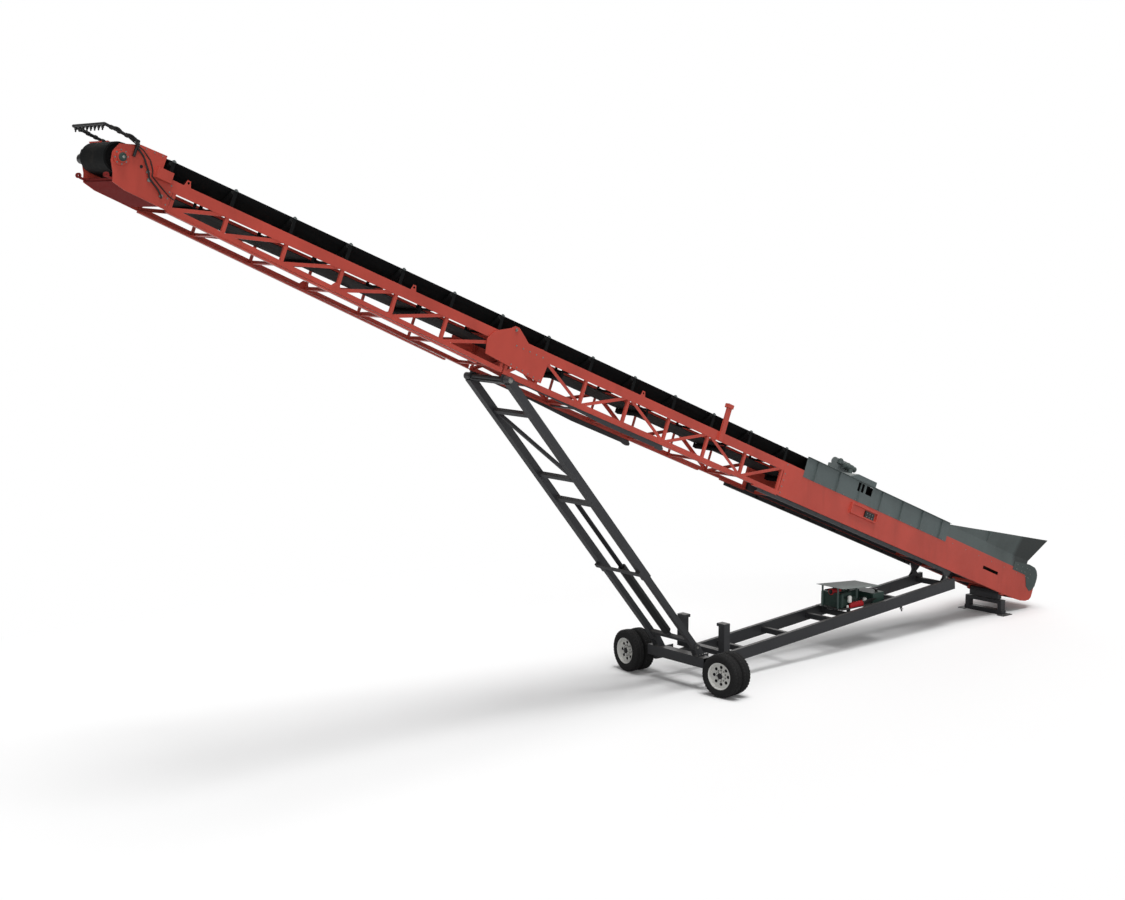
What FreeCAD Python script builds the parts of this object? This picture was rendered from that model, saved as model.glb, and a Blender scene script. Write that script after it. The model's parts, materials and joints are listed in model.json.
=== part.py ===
import FreeCAD, Part
import math
import os
from FreeCAD import Placement, Rotation, Vector

# Frame: origin on the ground on the slewing kingpin, +X to the discharge head, +Y left, +Z up.
# Every length is in millimetres. "s" runs up the conveyor, "n" is square to its top chord.

# ---- driving dimensions -------------------------------------------------
SLOPE = 22.0                # conveyor's angle as it stands
BELT_CENTRES = 24400.0      # tail drum to head drum
TAIL_X = -900.0             # tail drum's datum behind the kingpin
TAIL_CHORD_Z = 790.0        # top chord line above the ground at the tail drum
TRUSS_WIDTH = 960.0
MAIN_DEPTH = 610.0
HEAD_DEPTH_FOLD = 600.0     # head truss where it meets the main truss
HEAD_DEPTH_TIP = 395.0
TAIL_PLATE_DEPTH = 620.0
IDLER_PITCH = 1119.0
IDLER_FIRST = BELT_CENTRES - 830.0   # idler next to the head drum
BELT_WIDTH = 760.0
BELT_T = 12.0
WHEEL_X = 9870.0
TRACK = 2610.0
TYRE_OD = 850.0
TYRE_W = 218.0
LUFF_X = 2100.0
LUFF_Z = 1150.0
LEG_BASE_X = WHEEL_X + 120.0
LEG_BASE_Z = 840.0
TILT_Z = 500.0              # hinge that lets the tail stand stay upright

# ---- clearances ---------------------------------------------------------
RUN = 0.05                  # radial clearance of a pin in its bore
FACE = 0.3                  # between curved faces that stay together
MOVE = 5.0                  # between faces of two moving bodies
SEAT = 0.2                  # between a fitting and the sloping face it stands on

# ---- stations along the conveyor ----------------------------------------
S_FOLD = 16530.0            # fold hinge
N_FOLD = 190.0
S_TAIL_TIP = -385.0
S_SIDE_END = 8950.0         # end of the plated tail section
S_HOPPER = 100.0            # foot of the hopper's back plate
S_SKIRT_START = 3300.0
S_SKIRT_END = 8370.0
S_UNDER_START = 850.0
S_UNDER_END = 8900.0
S_HEAD_PLATE = BELT_CENTRES - 950.0
S_LEG_TOP = 16420.0
N_LEG_TOP = -690.0
FOLD_GAP = 15.0             # half the gap between the two sections
WING_BACK = 700.0           # the belt's wings stop this far from the fold hinge

# ---- conveyor sections --------------------------------------------------
HALF_W = TRUSS_WIDTH / 2
CHORD_LEG = 80.0
CHORD_TOP = 70.0            # top chord's upright leg above and below its inward leg
CHORD_BELOW = 110.0
WEB_TOP_INSET = 60.0
ANGLE_T = 8.0
WEB_LEG = 60.0
FLANGE = 70.0
PLATE_T = 12.0
SHEET_T = 6.0
UNDER_BEAM_DEPTH = 150.0
UNDER_BEAM_WIDTH = 60.0
SKIRT_TOP = 362.0
SKIRT_LOW = -65.0
HOOD_TOP = 480.0
HOPPER_FLARE = 0.526        # outward run of the hopper's wings for each unit of rise
HOPPER_LEAN = 0.196         # the same for its front panels
HOPPER_MID = 330.0
HOPPER_TIP = 900.0
S_HOPPER_TIP = -10.0
S_HOPPER_KNEE = 1850.0
HOPPER_KNEE = 585.0
HOOP_R = 24.0
HOSE_R = 9.0
UNION_REACH = 36.0

# ---- belt, drums and idlers ---------------------------------------------
DRUM_R = 215.0
DRUM_WALL = 14.0
DRUM_N = 60.0
TROUGH_N = 150.0            # underside of the belt in the trough
TROUGH_HALF = 140.0
WING_N = 340.0              # underside of the belt at its edge
TRANSITION = 800.0          # length over which the belt flattens to its drum
ROLLER_R = 50.0
RETURN_N = DRUM_N - DRUM_R - BELT_T

# ---- pins ---------------------------------------------------------------
STUB_R = 45.0
KINGPIN_R = 45.0
LUFF_PIN_R = 35.0
FOLD_PIN_R = 30.0
LEG_PIN_R = 25.0
SLEW_PIN_R = 40.0
TILT_PIN_R = 30.0
ANCHOR_R = 13.0

# ---- undercarriage ------------------------------------------------------
RAIL_Y = HALF_W - 30.0
RAIL_WIDTH = 80.0
RAIL_DEPTH = 240.0
RAIL_TAIL = Vector(1800, 0, 972)
RAIL_HEAD = Vector(WHEEL_X - 100, 0, 369.6)
RAIL_TAPER = 600.0          # length over which the rails grow shallower at the axle
RAIL_END_LOW = 410.0
PACK_TAIL = 4000.0
TIE_STATIONS = (2000.0, 3620.0, PACK_TAIL + 300, PACK_TAIL + 1200, 5700.0, 7050.0, 8350.0)
AXLE_LOW = 450.0
AXLE_TOP = 650.0
AXLE_HALF = TRACK / 2 - 515.0
KINGPIN_BACK = 320.0        # kingpin from the wheel's centre, along and across its axle
KINGPIN_SIDE = 490.0
KNUCKLE_LOW = 360.0
KNUCKLE_TOP = 520.0
KNUCKLE_WIDTH = 100.0
KNUCKLE_PLATE = 30.0
POST_X = 9200.0
POST_Y = HALF_W + 100.0
POST_SIDE = 160.0
POST_TOP = 1190.0
LUFF_LUG_Y = HALF_W - 65.0
LUFF_LUG_T = 40.0
PACK_HEAD = PACK_TAIL + 1450.0
PACK_HALF = HALF_W - 110.0

# ---- tail stand ---------------------------------------------------------
STAND_Y = HALF_W - 30.0
STAND_LEG = 100.0
STAND_HALF_X = 80.0
STAND_BAR = 100.0
STAND_TOP = 330.0
STAND_COLLAR = 15.0
STAND_FOOT_Y = STAND_Y + 190.0
STAND_FOOT_X = 170.0
ANCHOR_X = 130.0
ANCHOR_Y = STAND_Y + 140.0
BOLSTER_HALF = HALF_W - 85.0
BOLSTER_TOP = 480.0

# ---- lifting legs -------------------------------------------------------
LEG_Y = HALF_W + 80.0
LEG_TUBE = 140.0
LEG_WALL = 8.0
LEG_INNER_TUBE = 112.0
LEG_OVERLAP_END = 2900.0
LEG_FOOT_SHARE = 0.28
LOW_TIE_SHARE = 0.31
RAM_TIE_SHARE = 0.56
MID_TIE_SHARE = 0.65
TOP_TIE_SHARE = 0.88
RAM_FOOT = 330.0
RAM_END = 2180.0
RAM_R = 85.0
ROD_R = 45.0

# ---- wheels -------------------------------------------------------------
RIM_R = 250.0
RIM_WALL = 14.0
TWIN_GAP = 40.0
HAND_HOLE_R = 32.0
HAND_HOLE_COUNT = 8

Y_AXIS = Vector(0, 1, 0)
CONVEYOR = Placement(Vector(TAIL_X, 0, TAIL_CHORD_Z), Rotation(Y_AXIS, -SLOPE))
PARTS = "parts"


def at(s, y, n):
    """Point in the ground frame of a place on the conveyor."""
    return CONVEYOR.multVec(Vector(s, y, n))


def on_conveyor(shape):
    """Move a shape drawn level into the conveyor's slope."""
    placed = shape.copy()
    placed.Placement = CONVEYOR.multiply(placed.Placement)
    return placed


def box(x0, x1, y0, y1, z0, z1):
    return Part.makeBox(x1 - x0, y1 - y0, z1 - z0, Vector(x0, y0, z0))


def fuse(shapes):
    """Join shapes that meet into as few solids as they make."""
    if len(shapes) == 1:
        return shapes[0]
    joined = shapes[0].multiFuse(shapes[1:])
    return joined.removeSplitter()


def group(shapes):
    """Keep solids that do not touch together as one piece."""
    solids = []
    for shape in shapes:
        solids.extend(shape.Solids)
    return Part.makeCompound(solids)


def face_of(points):
    """Flat face through corner points."""
    return Part.Face(Part.makePolygon(points + [points[0]]))


def plate(points, thickness, direction):
    """Plate of one outline, thickened along a direction."""
    return face_of(points).extrude(direction * thickness)


def side_plate(outline, y0, y1):
    """Upright plate from an outline in (s, n), between two distances across."""
    return plate([Vector(s, y0, n) for s, n in outline], y1 - y0, Y_AXIS)


def section_bar(outline, start, end):
    """Bar of a (y, z) section run from one point to another."""
    line = end - start
    bar = face_of([Vector(0, y, z) for y, z in outline]).extrude(Vector(line.Length, 0, 0))
    bar.Placement = Placement(start, Rotation(Vector(1, 0, 0), line))
    return bar


def rectangle(width, height):
    return [(-width / 2, -height / 2), (width / 2, -height / 2),
            (width / 2, height / 2), (-width / 2, height / 2)]


def bar(start, end, width, height):
    return section_bar(rectangle(width, height), start, end)


def tube(start, end, width, height, wall):
    """Rectangular hollow section with open ends."""
    core = section_bar(rectangle(width - 2 * wall, height - 2 * wall), start, end)
    return bar(start, end, width, height).cut(core)


def rod(start, end, radius):
    line = end - start
    return Part.makeCylinder(radius, line.Length, start, line)


def bent_rod(points, radius):
    """Round rod through several points, with ball corners."""
    pieces = [rod(a, b, radius) for a, b in zip(points, points[1:])]
    pieces += [Part.makeSphere(radius, p) for p in points[1:-1]]
    return fuse(pieces)


def mirror_y(shape):
    return shape.mirror(Vector(0, 0, 0), Y_AXIS)


def both_sides(shape):
    return [shape, mirror_y(shape)]


def idler_stations(low, high):
    """Carrying idlers between two stations."""
    count = int((IDLER_FIRST - low) // IDLER_PITCH) + 1
    stations = [IDLER_FIRST - i * IDLER_PITCH for i in range(count)]
    return [s for s in stations if low <= s <= high]


# ---- truss ----------------------------------------------------------------
def top_chord(s0, s1):
    """Upright strip with an inward leg at the idlers' feet."""
    y = HALF_W
    outline = [(y, CHORD_TOP), (y, -CHORD_BELOW), (y - ANGLE_T, -CHORD_BELOW),
               (y - ANGLE_T, -ANGLE_T), (y - FLANGE, -ANGLE_T), (y - FLANGE, 0),
               (y - ANGLE_T, 0), (y - ANGLE_T, CHORD_TOP)]
    return section_bar(outline, Vector(s0, 0, 0), Vector(s1, 0, 0))


def bottom_chord(s0, depth0, s1, depth1):
    y = HALF_W
    outline = [(y, 0), (y, CHORD_LEG), (y - ANGLE_T, CHORD_LEG),
               (y - ANGLE_T, ANGLE_T), (y - FLANGE, ANGLE_T), (y - FLANGE, 0)]
    return section_bar(outline, Vector(s0, 0, -depth0), Vector(s1, 0, -depth1))


def web_member(s0, n0, s1, n1):
    """Angle between the chords, inside their upright legs."""
    y = HALF_W - ANGLE_T
    half = WEB_LEG / 2
    reach = y - WEB_LEG + 10
    outline = [(y, -half), (y, half), (reach, half), (reach, half - ANGLE_T),
               (y - ANGLE_T, half - ANGLE_T), (y - ANGLE_T, -half)]
    return section_bar(outline, Vector(s0, 0, n0), Vector(s1, 0, n1))


def web(stations, depth_at, first_leans, alternate):
    """Uprights at the stations and a diagonal in each bay."""
    inset = CHORD_LEG / 2
    top = -WEB_TOP_INSET
    pieces = []
    for s in stations:
        pieces.append(web_member(s, top, s, -depth_at(s) + inset))
    leans = first_leans
    for a, b in zip(stations, stations[1:]):
        top_s, low_s = (a, b) if leans else (b, a)
        pieces.append(web_member(low_s, -depth_at(low_s) + inset, top_s, top))
        leans = leans != alternate
    return pieces


def main_depth(s):
    return MAIN_DEPTH


def head_depth(s):
    share = (s - S_FOLD) / (S_HEAD_PLATE - S_FOLD)
    return HEAD_DEPTH_FOLD + share * (HEAD_DEPTH_TIP - HEAD_DEPTH_FOLD)


def lifting_lug(s):
    """Small lug with an eye on the top chord."""
    low = CHORD_TOP - 2
    outline = [(s - 60, low), (s + 60, low), (s + 28, low + 97), (s - 28, low + 97)]
    lug = side_plate(outline, HALF_W - ANGLE_T, HALF_W)
    eye = low + 57
    return lug.cut(rod(Vector(s, 0, eye), Vector(s, HALF_W + 1, eye), 20))


def main_truss():
    s0 = S_SIDE_END
    s1 = S_FOLD - FOLD_GAP
    inset = CHORD_LEG / 2
    stations = [s0 + inset] + sorted(idler_stations(s0 + IDLER_PITCH / 2, s1 - inset)) + [s1 - inset]
    pieces = [top_chord(s0, s1), bottom_chord(s0, MAIN_DEPTH, s1, MAIN_DEPTH)]
    pieces += web(stations, main_depth, True, True)
    pieces.append(lifting_lug(13210.0))
    return fuse(pieces)


def head_truss():
    s0 = S_FOLD + FOLD_GAP
    s1 = S_HEAD_PLATE
    inset = CHORD_LEG / 2
    inner = sorted(idler_stations(s0 + IDLER_PITCH / 2, s1 - inset))
    stations = [s0 + inset] + inner + [s1 - inset]
    pieces = [top_chord(s0, s1), bottom_chord(s0, head_depth(s0), s1, head_depth(s1))]
    pieces += web(stations, head_depth, True, False)
    pieces += [lifting_lug(18810.0), lifting_lug(23250.0)]
    gusset_s = 20250.0
    low = -head_depth(gusset_s) + 20
    top = low + 130
    gusset = [(gusset_s - 150, low), (gusset_s + 150, low), (gusset_s + 40, top), (gusset_s - 40, top)]
    pieces.append(side_plate(gusset, HALF_W - ANGLE_T, HALF_W))
    return fuse(pieces)


def cross_members(stations, depth_at):
    """Angles that tie the two bottom chords, laid on their inward legs."""
    reach = HALF_W - FLANGE + ANGLE_T
    pieces = []
    for s in stations:
        low = max(-depth_at(s - 30), -depth_at(s + 30)) + ANGLE_T
        pieces.append(box(s - 30, s + 30, -reach, reach, low, low + ANGLE_T))
        rib = box(s - 30, s - 30 + ANGLE_T, -reach, reach, low, low + WEB_LEG)
        pieces[-1] = fuse([pieces[-1], rib])
    return group(pieces)


def main_cross_members():
    return cross_members(idler_stations(S_SIDE_END + 200, S_FOLD - 600), main_depth)


def head_cross_members():
    return cross_members(idler_stations(S_FOLD + 200, S_HEAD_PLATE - 200), head_depth)


# ---- fold hinge -----------------------------------------------------------
def fold_plate_main():
    """Skin on the main truss and a longer outer plate that holds the hinge pin."""
    end = S_FOLD - FOLD_GAP
    skin = [(S_FOLD - 870, -498), (end, -440), (end, 60), (S_FOLD - 380, 68),
            (S_FOLD - 730, 68), (S_FOLD - 900, -80)]
    outer = [(S_FOLD - 870, -498), (S_FOLD + 486, -408), (S_FOLD + 546, -156), (S_FOLD + 405, 40),
             (S_FOLD + 130, N_FOLD - 15), (S_FOLD + 30, N_FOLD + 60), (S_FOLD - 40, N_FOLD + 60),
             (S_FOLD - 70, N_FOLD + 54), (S_FOLD - 370, 56), (S_FOLD - 730, 70), (S_FOLD - 910, -80)]
    y0 = HALF_W + PLATE_T + MOVE
    y1 = y0 + PLATE_T
    pin = rod(Vector(S_FOLD, HALF_W - 10, N_FOLD), Vector(S_FOLD, y1 + 8, N_FOLD), FOLD_PIN_R)
    return fuse([side_plate(skin, HALF_W, y0), side_plate(outer, y0, y1), pin])


def fold_plates_main():
    return group(both_sides(fold_plate_main()))


def fold_plate_head():
    """Skin on the head truss with an ear that turns on the hinge pin."""
    start = S_FOLD + FOLD_GAP
    outline = [(start, -420), (S_FOLD + 470, -390), (S_FOLD + 525, -156), (S_FOLD + 395, 25),
               (S_FOLD + 120, N_FOLD - 30), (S_FOLD + 35, N_FOLD + 48), (S_FOLD - 35, N_FOLD + 48),
               (S_FOLD - 55, N_FOLD), (S_FOLD - 35, N_FOLD - 48), (start, N_FOLD - 60)]
    y1 = HALF_W + PLATE_T
    ear = side_plate(outline, HALF_W, y1)
    return ear.cut(rod(Vector(S_FOLD, HALF_W - 1, N_FOLD), Vector(S_FOLD, y1 + 1, N_FOLD), FOLD_PIN_R + RUN))


def fold_plates_head():
    return group(both_sides(fold_plate_head()))


# ---- plated tail section ----------------------------------------------------
def tail_side():
    """Side plate of the tail section, with its flanges, take-up slot and side channel."""
    depth = TAIL_PLATE_DEPTH
    outline = [(S_TAIL_TIP + 15, -20), (S_TAIL_TIP, -200), (S_TAIL_TIP, -420), (S_TAIL_TIP + 55, -500),
               (S_TAIL_TIP + 185, -560), (0, -600), (300, -depth), (S_SIDE_END, -depth),
               (S_SIDE_END, CHORD_TOP), (-150, CHORD_TOP)]
    y0 = HALF_W - FLANGE
    y1 = HALF_W - ANGLE_T
    web_plate = side_plate(outline, y1, HALF_W)
    top = box(-300, S_SIDE_END, y0, y1, -ANGLE_T, 0)
    low = box(S_UNDER_START, S_SIDE_END, y0, y1, -depth, -depth + ANGLE_T)
    channel = box(5800, 6700, HALF_W, HALF_W + 45, -345, -120)
    recess = box(5830, 6670, HALF_W + 8, HALF_W + 46, -315, -150)
    slot = box(1100, 1710, y1 - 1, HALF_W + 1, -270, -200)
    return fuse([web_plate, top, low, channel.cut(recess)]).cut(slot)


def tail_cross_members():
    """Ties and nose plate across the tail section, kept clear of the power pack when it is lowered."""
    reach = HALF_W - FLANGE
    side = 60.0
    middle = -TAIL_PLATE_DEPTH + ANGLE_T + side / 2
    pieces = []
    for s in (1500.0, 2700.0, 3700.0, 8650.0):
        pieces.append(bar(Vector(s, -reach, middle), Vector(s, reach, middle), side, side))
    face = [(S_TAIL_TIP + 2, -200), (S_TAIL_TIP + 2, -418), (S_TAIL_TIP + 57, -497), (S_TAIL_TIP + 180, -554)]
    back = [(s + SHEET_T, n + SHEET_T) for s, n in reversed(face)]
    pieces.append(side_plate(face + back, -HALF_W + ANGLE_T, HALF_W - ANGLE_T))
    return group(pieces)


def tilt_place():
    """Tail stand's tilt hinge in the conveyor's own frame."""
    return CONVEYOR.inverse().multVec(Vector(0, 0, TILT_Z))


def tail_pivot_bearing():
    """Bearing block inside the side plate for the tilt hinge."""
    pin = tilt_place()
    y0 = BOLSTER_HALF + 20
    y1 = HALF_W - ANGLE_T
    block = box(pin.x - 65, pin.x + 65, y0, y1, pin.z - 45, pin.z + 65)
    bore = rod(Vector(pin.x, y0 - 1, pin.z), Vector(pin.x, y1 + 1, pin.z), TILT_PIN_R + RUN)
    return block.cut(bore)


def tail_pivot_bearings():
    return group(both_sides(tail_pivot_bearing()))


def under_beams():
    """Dark box beams inside the tail section's lower flanges."""
    y = HALF_W - FLANGE + UNDER_BEAM_WIDTH / 2
    n = -TAIL_PLATE_DEPTH + ANGLE_T + UNDER_BEAM_DEPTH / 2
    beam = tube(Vector(S_UNDER_START, y, n), Vector(S_UNDER_END, y, n), UNDER_BEAM_WIDTH, UNDER_BEAM_DEPTH, 6)
    return group(both_sides(beam))


def luff_lug():
    """Lug under the tail section with the luffing bore."""
    pin = CONVEYOR.inverse().multVec(Vector(LUFF_X, 0, LUFF_Z))
    y0 = LUFF_LUG_Y
    y1 = y0 + LUFF_LUG_T
    top = -TAIL_PLATE_DEPTH
    cheek = [(s, 2 * pin.z - n) for s, n in round_top(pin.x, pin.z, LUFF_PIN_R + 20)]
    outline = [(pin.x - 150, top), (pin.x + 200, top)] + cheek
    lug = side_plate(outline, y0, y1)
    bore = rod(Vector(pin.x, y0 - 1, pin.z), Vector(pin.x, y1 + 1, pin.z), LUFF_PIN_R + RUN)
    return lug.cut(bore)


def luff_lugs():
    return group(both_sides(luff_lug()))


def skirt():
    """Side skirt with stiffening ribs, a top lip and two windows under the hood."""
    y0 = HALF_W
    y1 = y0 + SHEET_T
    panel = box(S_SKIRT_START, S_SKIRT_END, y0, y1, SKIRT_LOW, SKIRT_TOP)
    for s in (6150.0, 6430.0):
        panel = panel.cut(box(s, s + 210, y0 - 1, y1 + 1, 150, SKIRT_TOP - 30))
    lip = box(S_SKIRT_START, S_SKIRT_END, y1, y1 + 40, SKIRT_TOP - SHEET_T, SKIRT_TOP)
    pieces = [panel, lip]
    for i in range(7):
        s = S_SKIRT_START + 300 + i * 740
        pieces.append(box(s, s + ANGLE_T, y1, y1 + 36, SKIRT_LOW, SKIRT_TOP))
    return fuse(pieces)


def skirt_hood():
    """Closed hood over the belt near the middle of the skirts."""
    s0 = 6080.0
    s1 = 6970.0
    s_top = s1 - 250
    y = HALF_W + SHEET_T
    base = SKIRT_TOP
    low = base + SHEET_T
    top = box(s0, s1, -y, y, base, low)
    outline = [(s0, low), (s1, low), (s_top, HOOD_TOP), (s0, HOOD_TOP)]
    left = side_plate(outline, y - SHEET_T, y)
    right = side_plate(outline, -y, -y + SHEET_T)
    cap = box(s0, s_top, -y, y, HOOD_TOP - SHEET_T, HOOD_TOP)
    slant = [Vector(s1, -y, low), Vector(s1, y, low), Vector(s_top, y, HOOD_TOP), Vector(s_top, -y, HOOD_TOP)]
    front = plate(slant, SHEET_T, Vector(-1, 0, 0))
    return fuse([top, left, right, cap, front])


def feed_hopper():
    """Feed hopper: near-upright front panels, two flared wings that rise to the tail, a back plate."""
    s0 = S_HOPPER
    s1 = S_SKIRT_START - MOVE
    knee = S_HOPPER_KNEE
    y_low = HALF_W
    y_front = y_low + HOPPER_LEAN * (HOPPER_KNEE - HOPPER_MID)
    y_knee = y_low + HOPPER_FLARE * (HOPPER_KNEE - HOPPER_MID)
    y_tip = y_low + HOPPER_FLARE * (HOPPER_TIP - HOPPER_MID)
    upright = box(s0, s1, y_low - ANGLE_T, y_low, CHORD_TOP, HOPPER_MID)
    front = plate([Vector(s1, y_low - SHEET_T, HOPPER_MID - 2), Vector(knee - SHEET_T, y_low - SHEET_T, HOPPER_MID - 2),
                   Vector(knee - SHEET_T, y_front - SHEET_T, HOPPER_KNEE)], SHEET_T, Y_AXIS)
    low = HOPPER_MID - SHEET_T
    flare = [Vector(s0, y_low, low), Vector(knee, y_low, low),
             Vector(knee, y_knee, HOPPER_KNEE - SHEET_T), Vector(S_HOPPER_TIP, y_tip, HOPPER_TIP - SHEET_T)]
    wing = plate(flare, SHEET_T, Vector(0, 0, 1))
    corner = [Vector(knee, y_low - 1, HOPPER_MID - 2), Vector(knee, y_front - SHEET_T, HOPPER_KNEE),
              Vector(knee, y_knee, HOPPER_KNEE)]
    gusset = plate(corner, SHEET_T, Vector(-1, 0, 0))
    lean = [Vector(s0, -y_low, HOPPER_MID), Vector(s0, y_low, HOPPER_MID),
            Vector(S_HOPPER_TIP, y_tip, HOPPER_TIP), Vector(S_HOPPER_TIP, -y_tip, HOPPER_TIP)]
    back = plate(lean, SHEET_T, Vector(1, 0, 0))
    sill = box(s0, s0 + SHEET_T, -y_low, y_low, HOPPER_MID - 30, HOPPER_MID)
    pieces = both_sides(upright) + both_sides(front) + both_sides(wing) + both_sides(gusset)
    return fuse(pieces + [back, sill])


def tail_cover():
    """Guard around the tail drum, with a cheek on each side plate."""
    y0 = HALF_W + SEAT
    y1 = y0 + SHEET_T
    nose = [(-240, 255), (-340, 200), (-405, 110), (-420, 10), (-410, -150)]
    cheek = [(600, 0), (590, 190), (300, 235), (0, 270)] + nose
    cheek += [(-330, -270), (-230, -310), (-80, -240), (60, 0)]
    back = [(s + SHEET_T, n - 2) for s, n in reversed(nose)]
    guard = side_plate(nose + back, -y0, y0)
    return fuse(both_sides(side_plate(cheek, y0, y1)) + [guard])


# ---- belt, drums and idlers -------------------------------------------------
def drum(s):
    """Drum shell with end discs on its shaft."""
    y = BELT_WIDTH / 2 + 10
    r = DRUM_R - FACE
    shell = rod(Vector(s, -y, DRUM_N), Vector(s, y, DRUM_N), r)
    hollow = rod(Vector(s, -y - 1, DRUM_N), Vector(s, y + 1, DRUM_N), r - DRUM_WALL)
    disc = rod(Vector(s, y - 60, DRUM_N), Vector(s, y - 45, DRUM_N), r - 2)
    reach = HALF_W - ANGLE_T - 1
    shaft = rod(Vector(s, -reach, DRUM_N), Vector(s, reach, DRUM_N), 35)
    return fuse([shell.cut(hollow), shaft] + both_sides(disc))


def belt_profile(s, middle_n, edge_n):
    """Belt's cross section: a flat middle strip and a wing on each side."""
    half = BELT_WIDTH / 2
    low = [(-half, edge_n), (-TROUGH_HALF, middle_n), (TROUGH_HALF, middle_n), (half, edge_n)]
    high = [(y, n + BELT_T) for y, n in reversed(low)]
    corners = [Vector(s, y, n) for y, n in low + high]
    return Part.makePolygon(corners + [corners[0]])


def flat_profile(s, n):
    return belt_profile(s, n, n)


def trough_profile(s):
    return belt_profile(s, TROUGH_N, WING_N)


def belt_loft(profiles):
    return Part.makeLoft(profiles, True, True)


def drum_wrap(s, direction):
    """Belt around half of a drum."""
    half = BELT_WIDTH / 2
    ring = rod(Vector(s, -half, DRUM_N), Vector(s, half, DRUM_N), DRUM_R + BELT_T)
    core = rod(Vector(s, -half - 1, DRUM_N), Vector(s, half + 1, DRUM_N), DRUM_R)
    reach = DRUM_R + BELT_T + 10
    low = min(0.0, direction * reach)
    keep = box(s + low, s + low + reach, -half, half, DRUM_N - reach, DRUM_N + reach)
    return ring.cut(core).common(keep)


def belt_section(drum_s, fold_s):
    """Belt of one section: carrying run, strip to the fold, return run and drum wrap."""
    way = 1.0 if fold_s > drum_s else -1.0
    half = BELT_WIDTH / 2
    transition = drum_s + way * TRANSITION
    wings_end = fold_s - way * (WING_BACK - FOLD_GAP)
    lift = 2.5
    pieces = [belt_loft([flat_profile(drum_s, DRUM_N + DRUM_R + lift), trough_profile(transition)]),
              belt_loft([trough_profile(transition), trough_profile(wings_end)])]
    low, high = sorted((wings_end, fold_s))
    pieces.append(box(low, high, -TROUGH_HALF, TROUGH_HALF, TROUGH_N, TROUGH_N + BELT_T))
    low, high = sorted((drum_s, fold_s))
    pieces.append(box(low, high, -half, half, RETURN_N, RETURN_N + BELT_T))
    pieces.append(drum_wrap(drum_s, -way))
    return fuse(pieces)


def belt_main():
    return belt_section(0.0, S_FOLD - FOLD_GAP)


def belt_head():
    return belt_section(BELT_CENTRES, S_FOLD + FOLD_GAP)


def idler(s):
    """Three-roll trough idler on its cross bar."""
    reach = HALF_W - 12
    base = box(s - 40, s + 40, -reach, reach, 0.0, 8)
    rib = box(s - 40, s - 32, -reach, reach, 0.0, 45)
    pieces = [base, rib]
    centre_n = TROUGH_N - ROLLER_R - 1
    pieces.append(rod(Vector(s, -TROUGH_HALF + 8, centre_n), Vector(s, TROUGH_HALF - 8, centre_n), ROLLER_R))
    run = BELT_WIDTH / 2 - TROUGH_HALF
    rise = WING_N - TROUGH_N
    length = math.hypot(run, rise)
    drop_y = (ROLLER_R + 1) * rise / length
    drop_n = (ROLLER_R + 1) * run / length
    inner = Vector(s, TROUGH_HALF + 30 + drop_y, TROUGH_N + 30 * rise / run - drop_n)
    outer = Vector(s, BELT_WIDTH / 2 + drop_y - 4, WING_N - 4 * rise / run - drop_n)
    wing = rod(inner, outer, ROLLER_R)
    post_out = box(s - 30, s + 30, reach - 8, reach, 0.0, outer.z + 40)
    stub = rod(outer, Vector(s, reach - 4, outer.z + 16), 12)
    post_in = box(s - 20, s + 20, TROUGH_HALF + 6, TROUGH_HALF + 14, 0.0, inner.z + 5)
    stub_in = rod(Vector(s, TROUGH_HALF - 9, centre_n), inner, 12)
    for part in (wing, post_out, stub, post_in, stub_in):
        pieces += both_sides(part)
    return fuse(pieces)


def idlers_main():
    return group([idler(s) for s in idler_stations(900, S_FOLD - 300)])


def idlers_head():
    return group([idler(s) for s in idler_stations(S_FOLD + 200, S_HEAD_PLATE + 200)])


def return_roller(s):
    n = RETURN_N - ROLLER_R - 1
    reach = HALF_W - FLANGE - 2
    roll = rod(Vector(s, -reach + 40, n), Vector(s, reach - 40, n), ROLLER_R)
    shaft = rod(Vector(s, -HALF_W + ANGLE_T + 52, n), Vector(s, HALF_W - ANGLE_T - 52, n), 14)
    return fuse([roll, shaft])


def hanger(s, clear):
    n = RETURN_N - ROLLER_R - 1
    y1 = HALF_W - ANGLE_T - clear
    return box(s - 25, s + 25, y1 - 8, y1, n - 30, -ANGLE_T)


def return_set(stations):
    """Return rollers with their hangers under the top chords' inward legs."""
    pieces = []
    for s in stations:
        pieces.append(fuse([return_roller(s)] + both_sides(hanger(s, 50))))
    return group(pieces)


def return_rollers_main():
    stations = [s + IDLER_PITCH / 2 for s in idler_stations(900, S_FOLD - 1200)]
    return return_set(stations[::2])


def return_rollers_head():
    stations = [s + IDLER_PITCH / 2 for s in idler_stations(S_FOLD + 200, S_HEAD_PLATE - 700)]
    return return_set(stations[::2])


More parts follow.
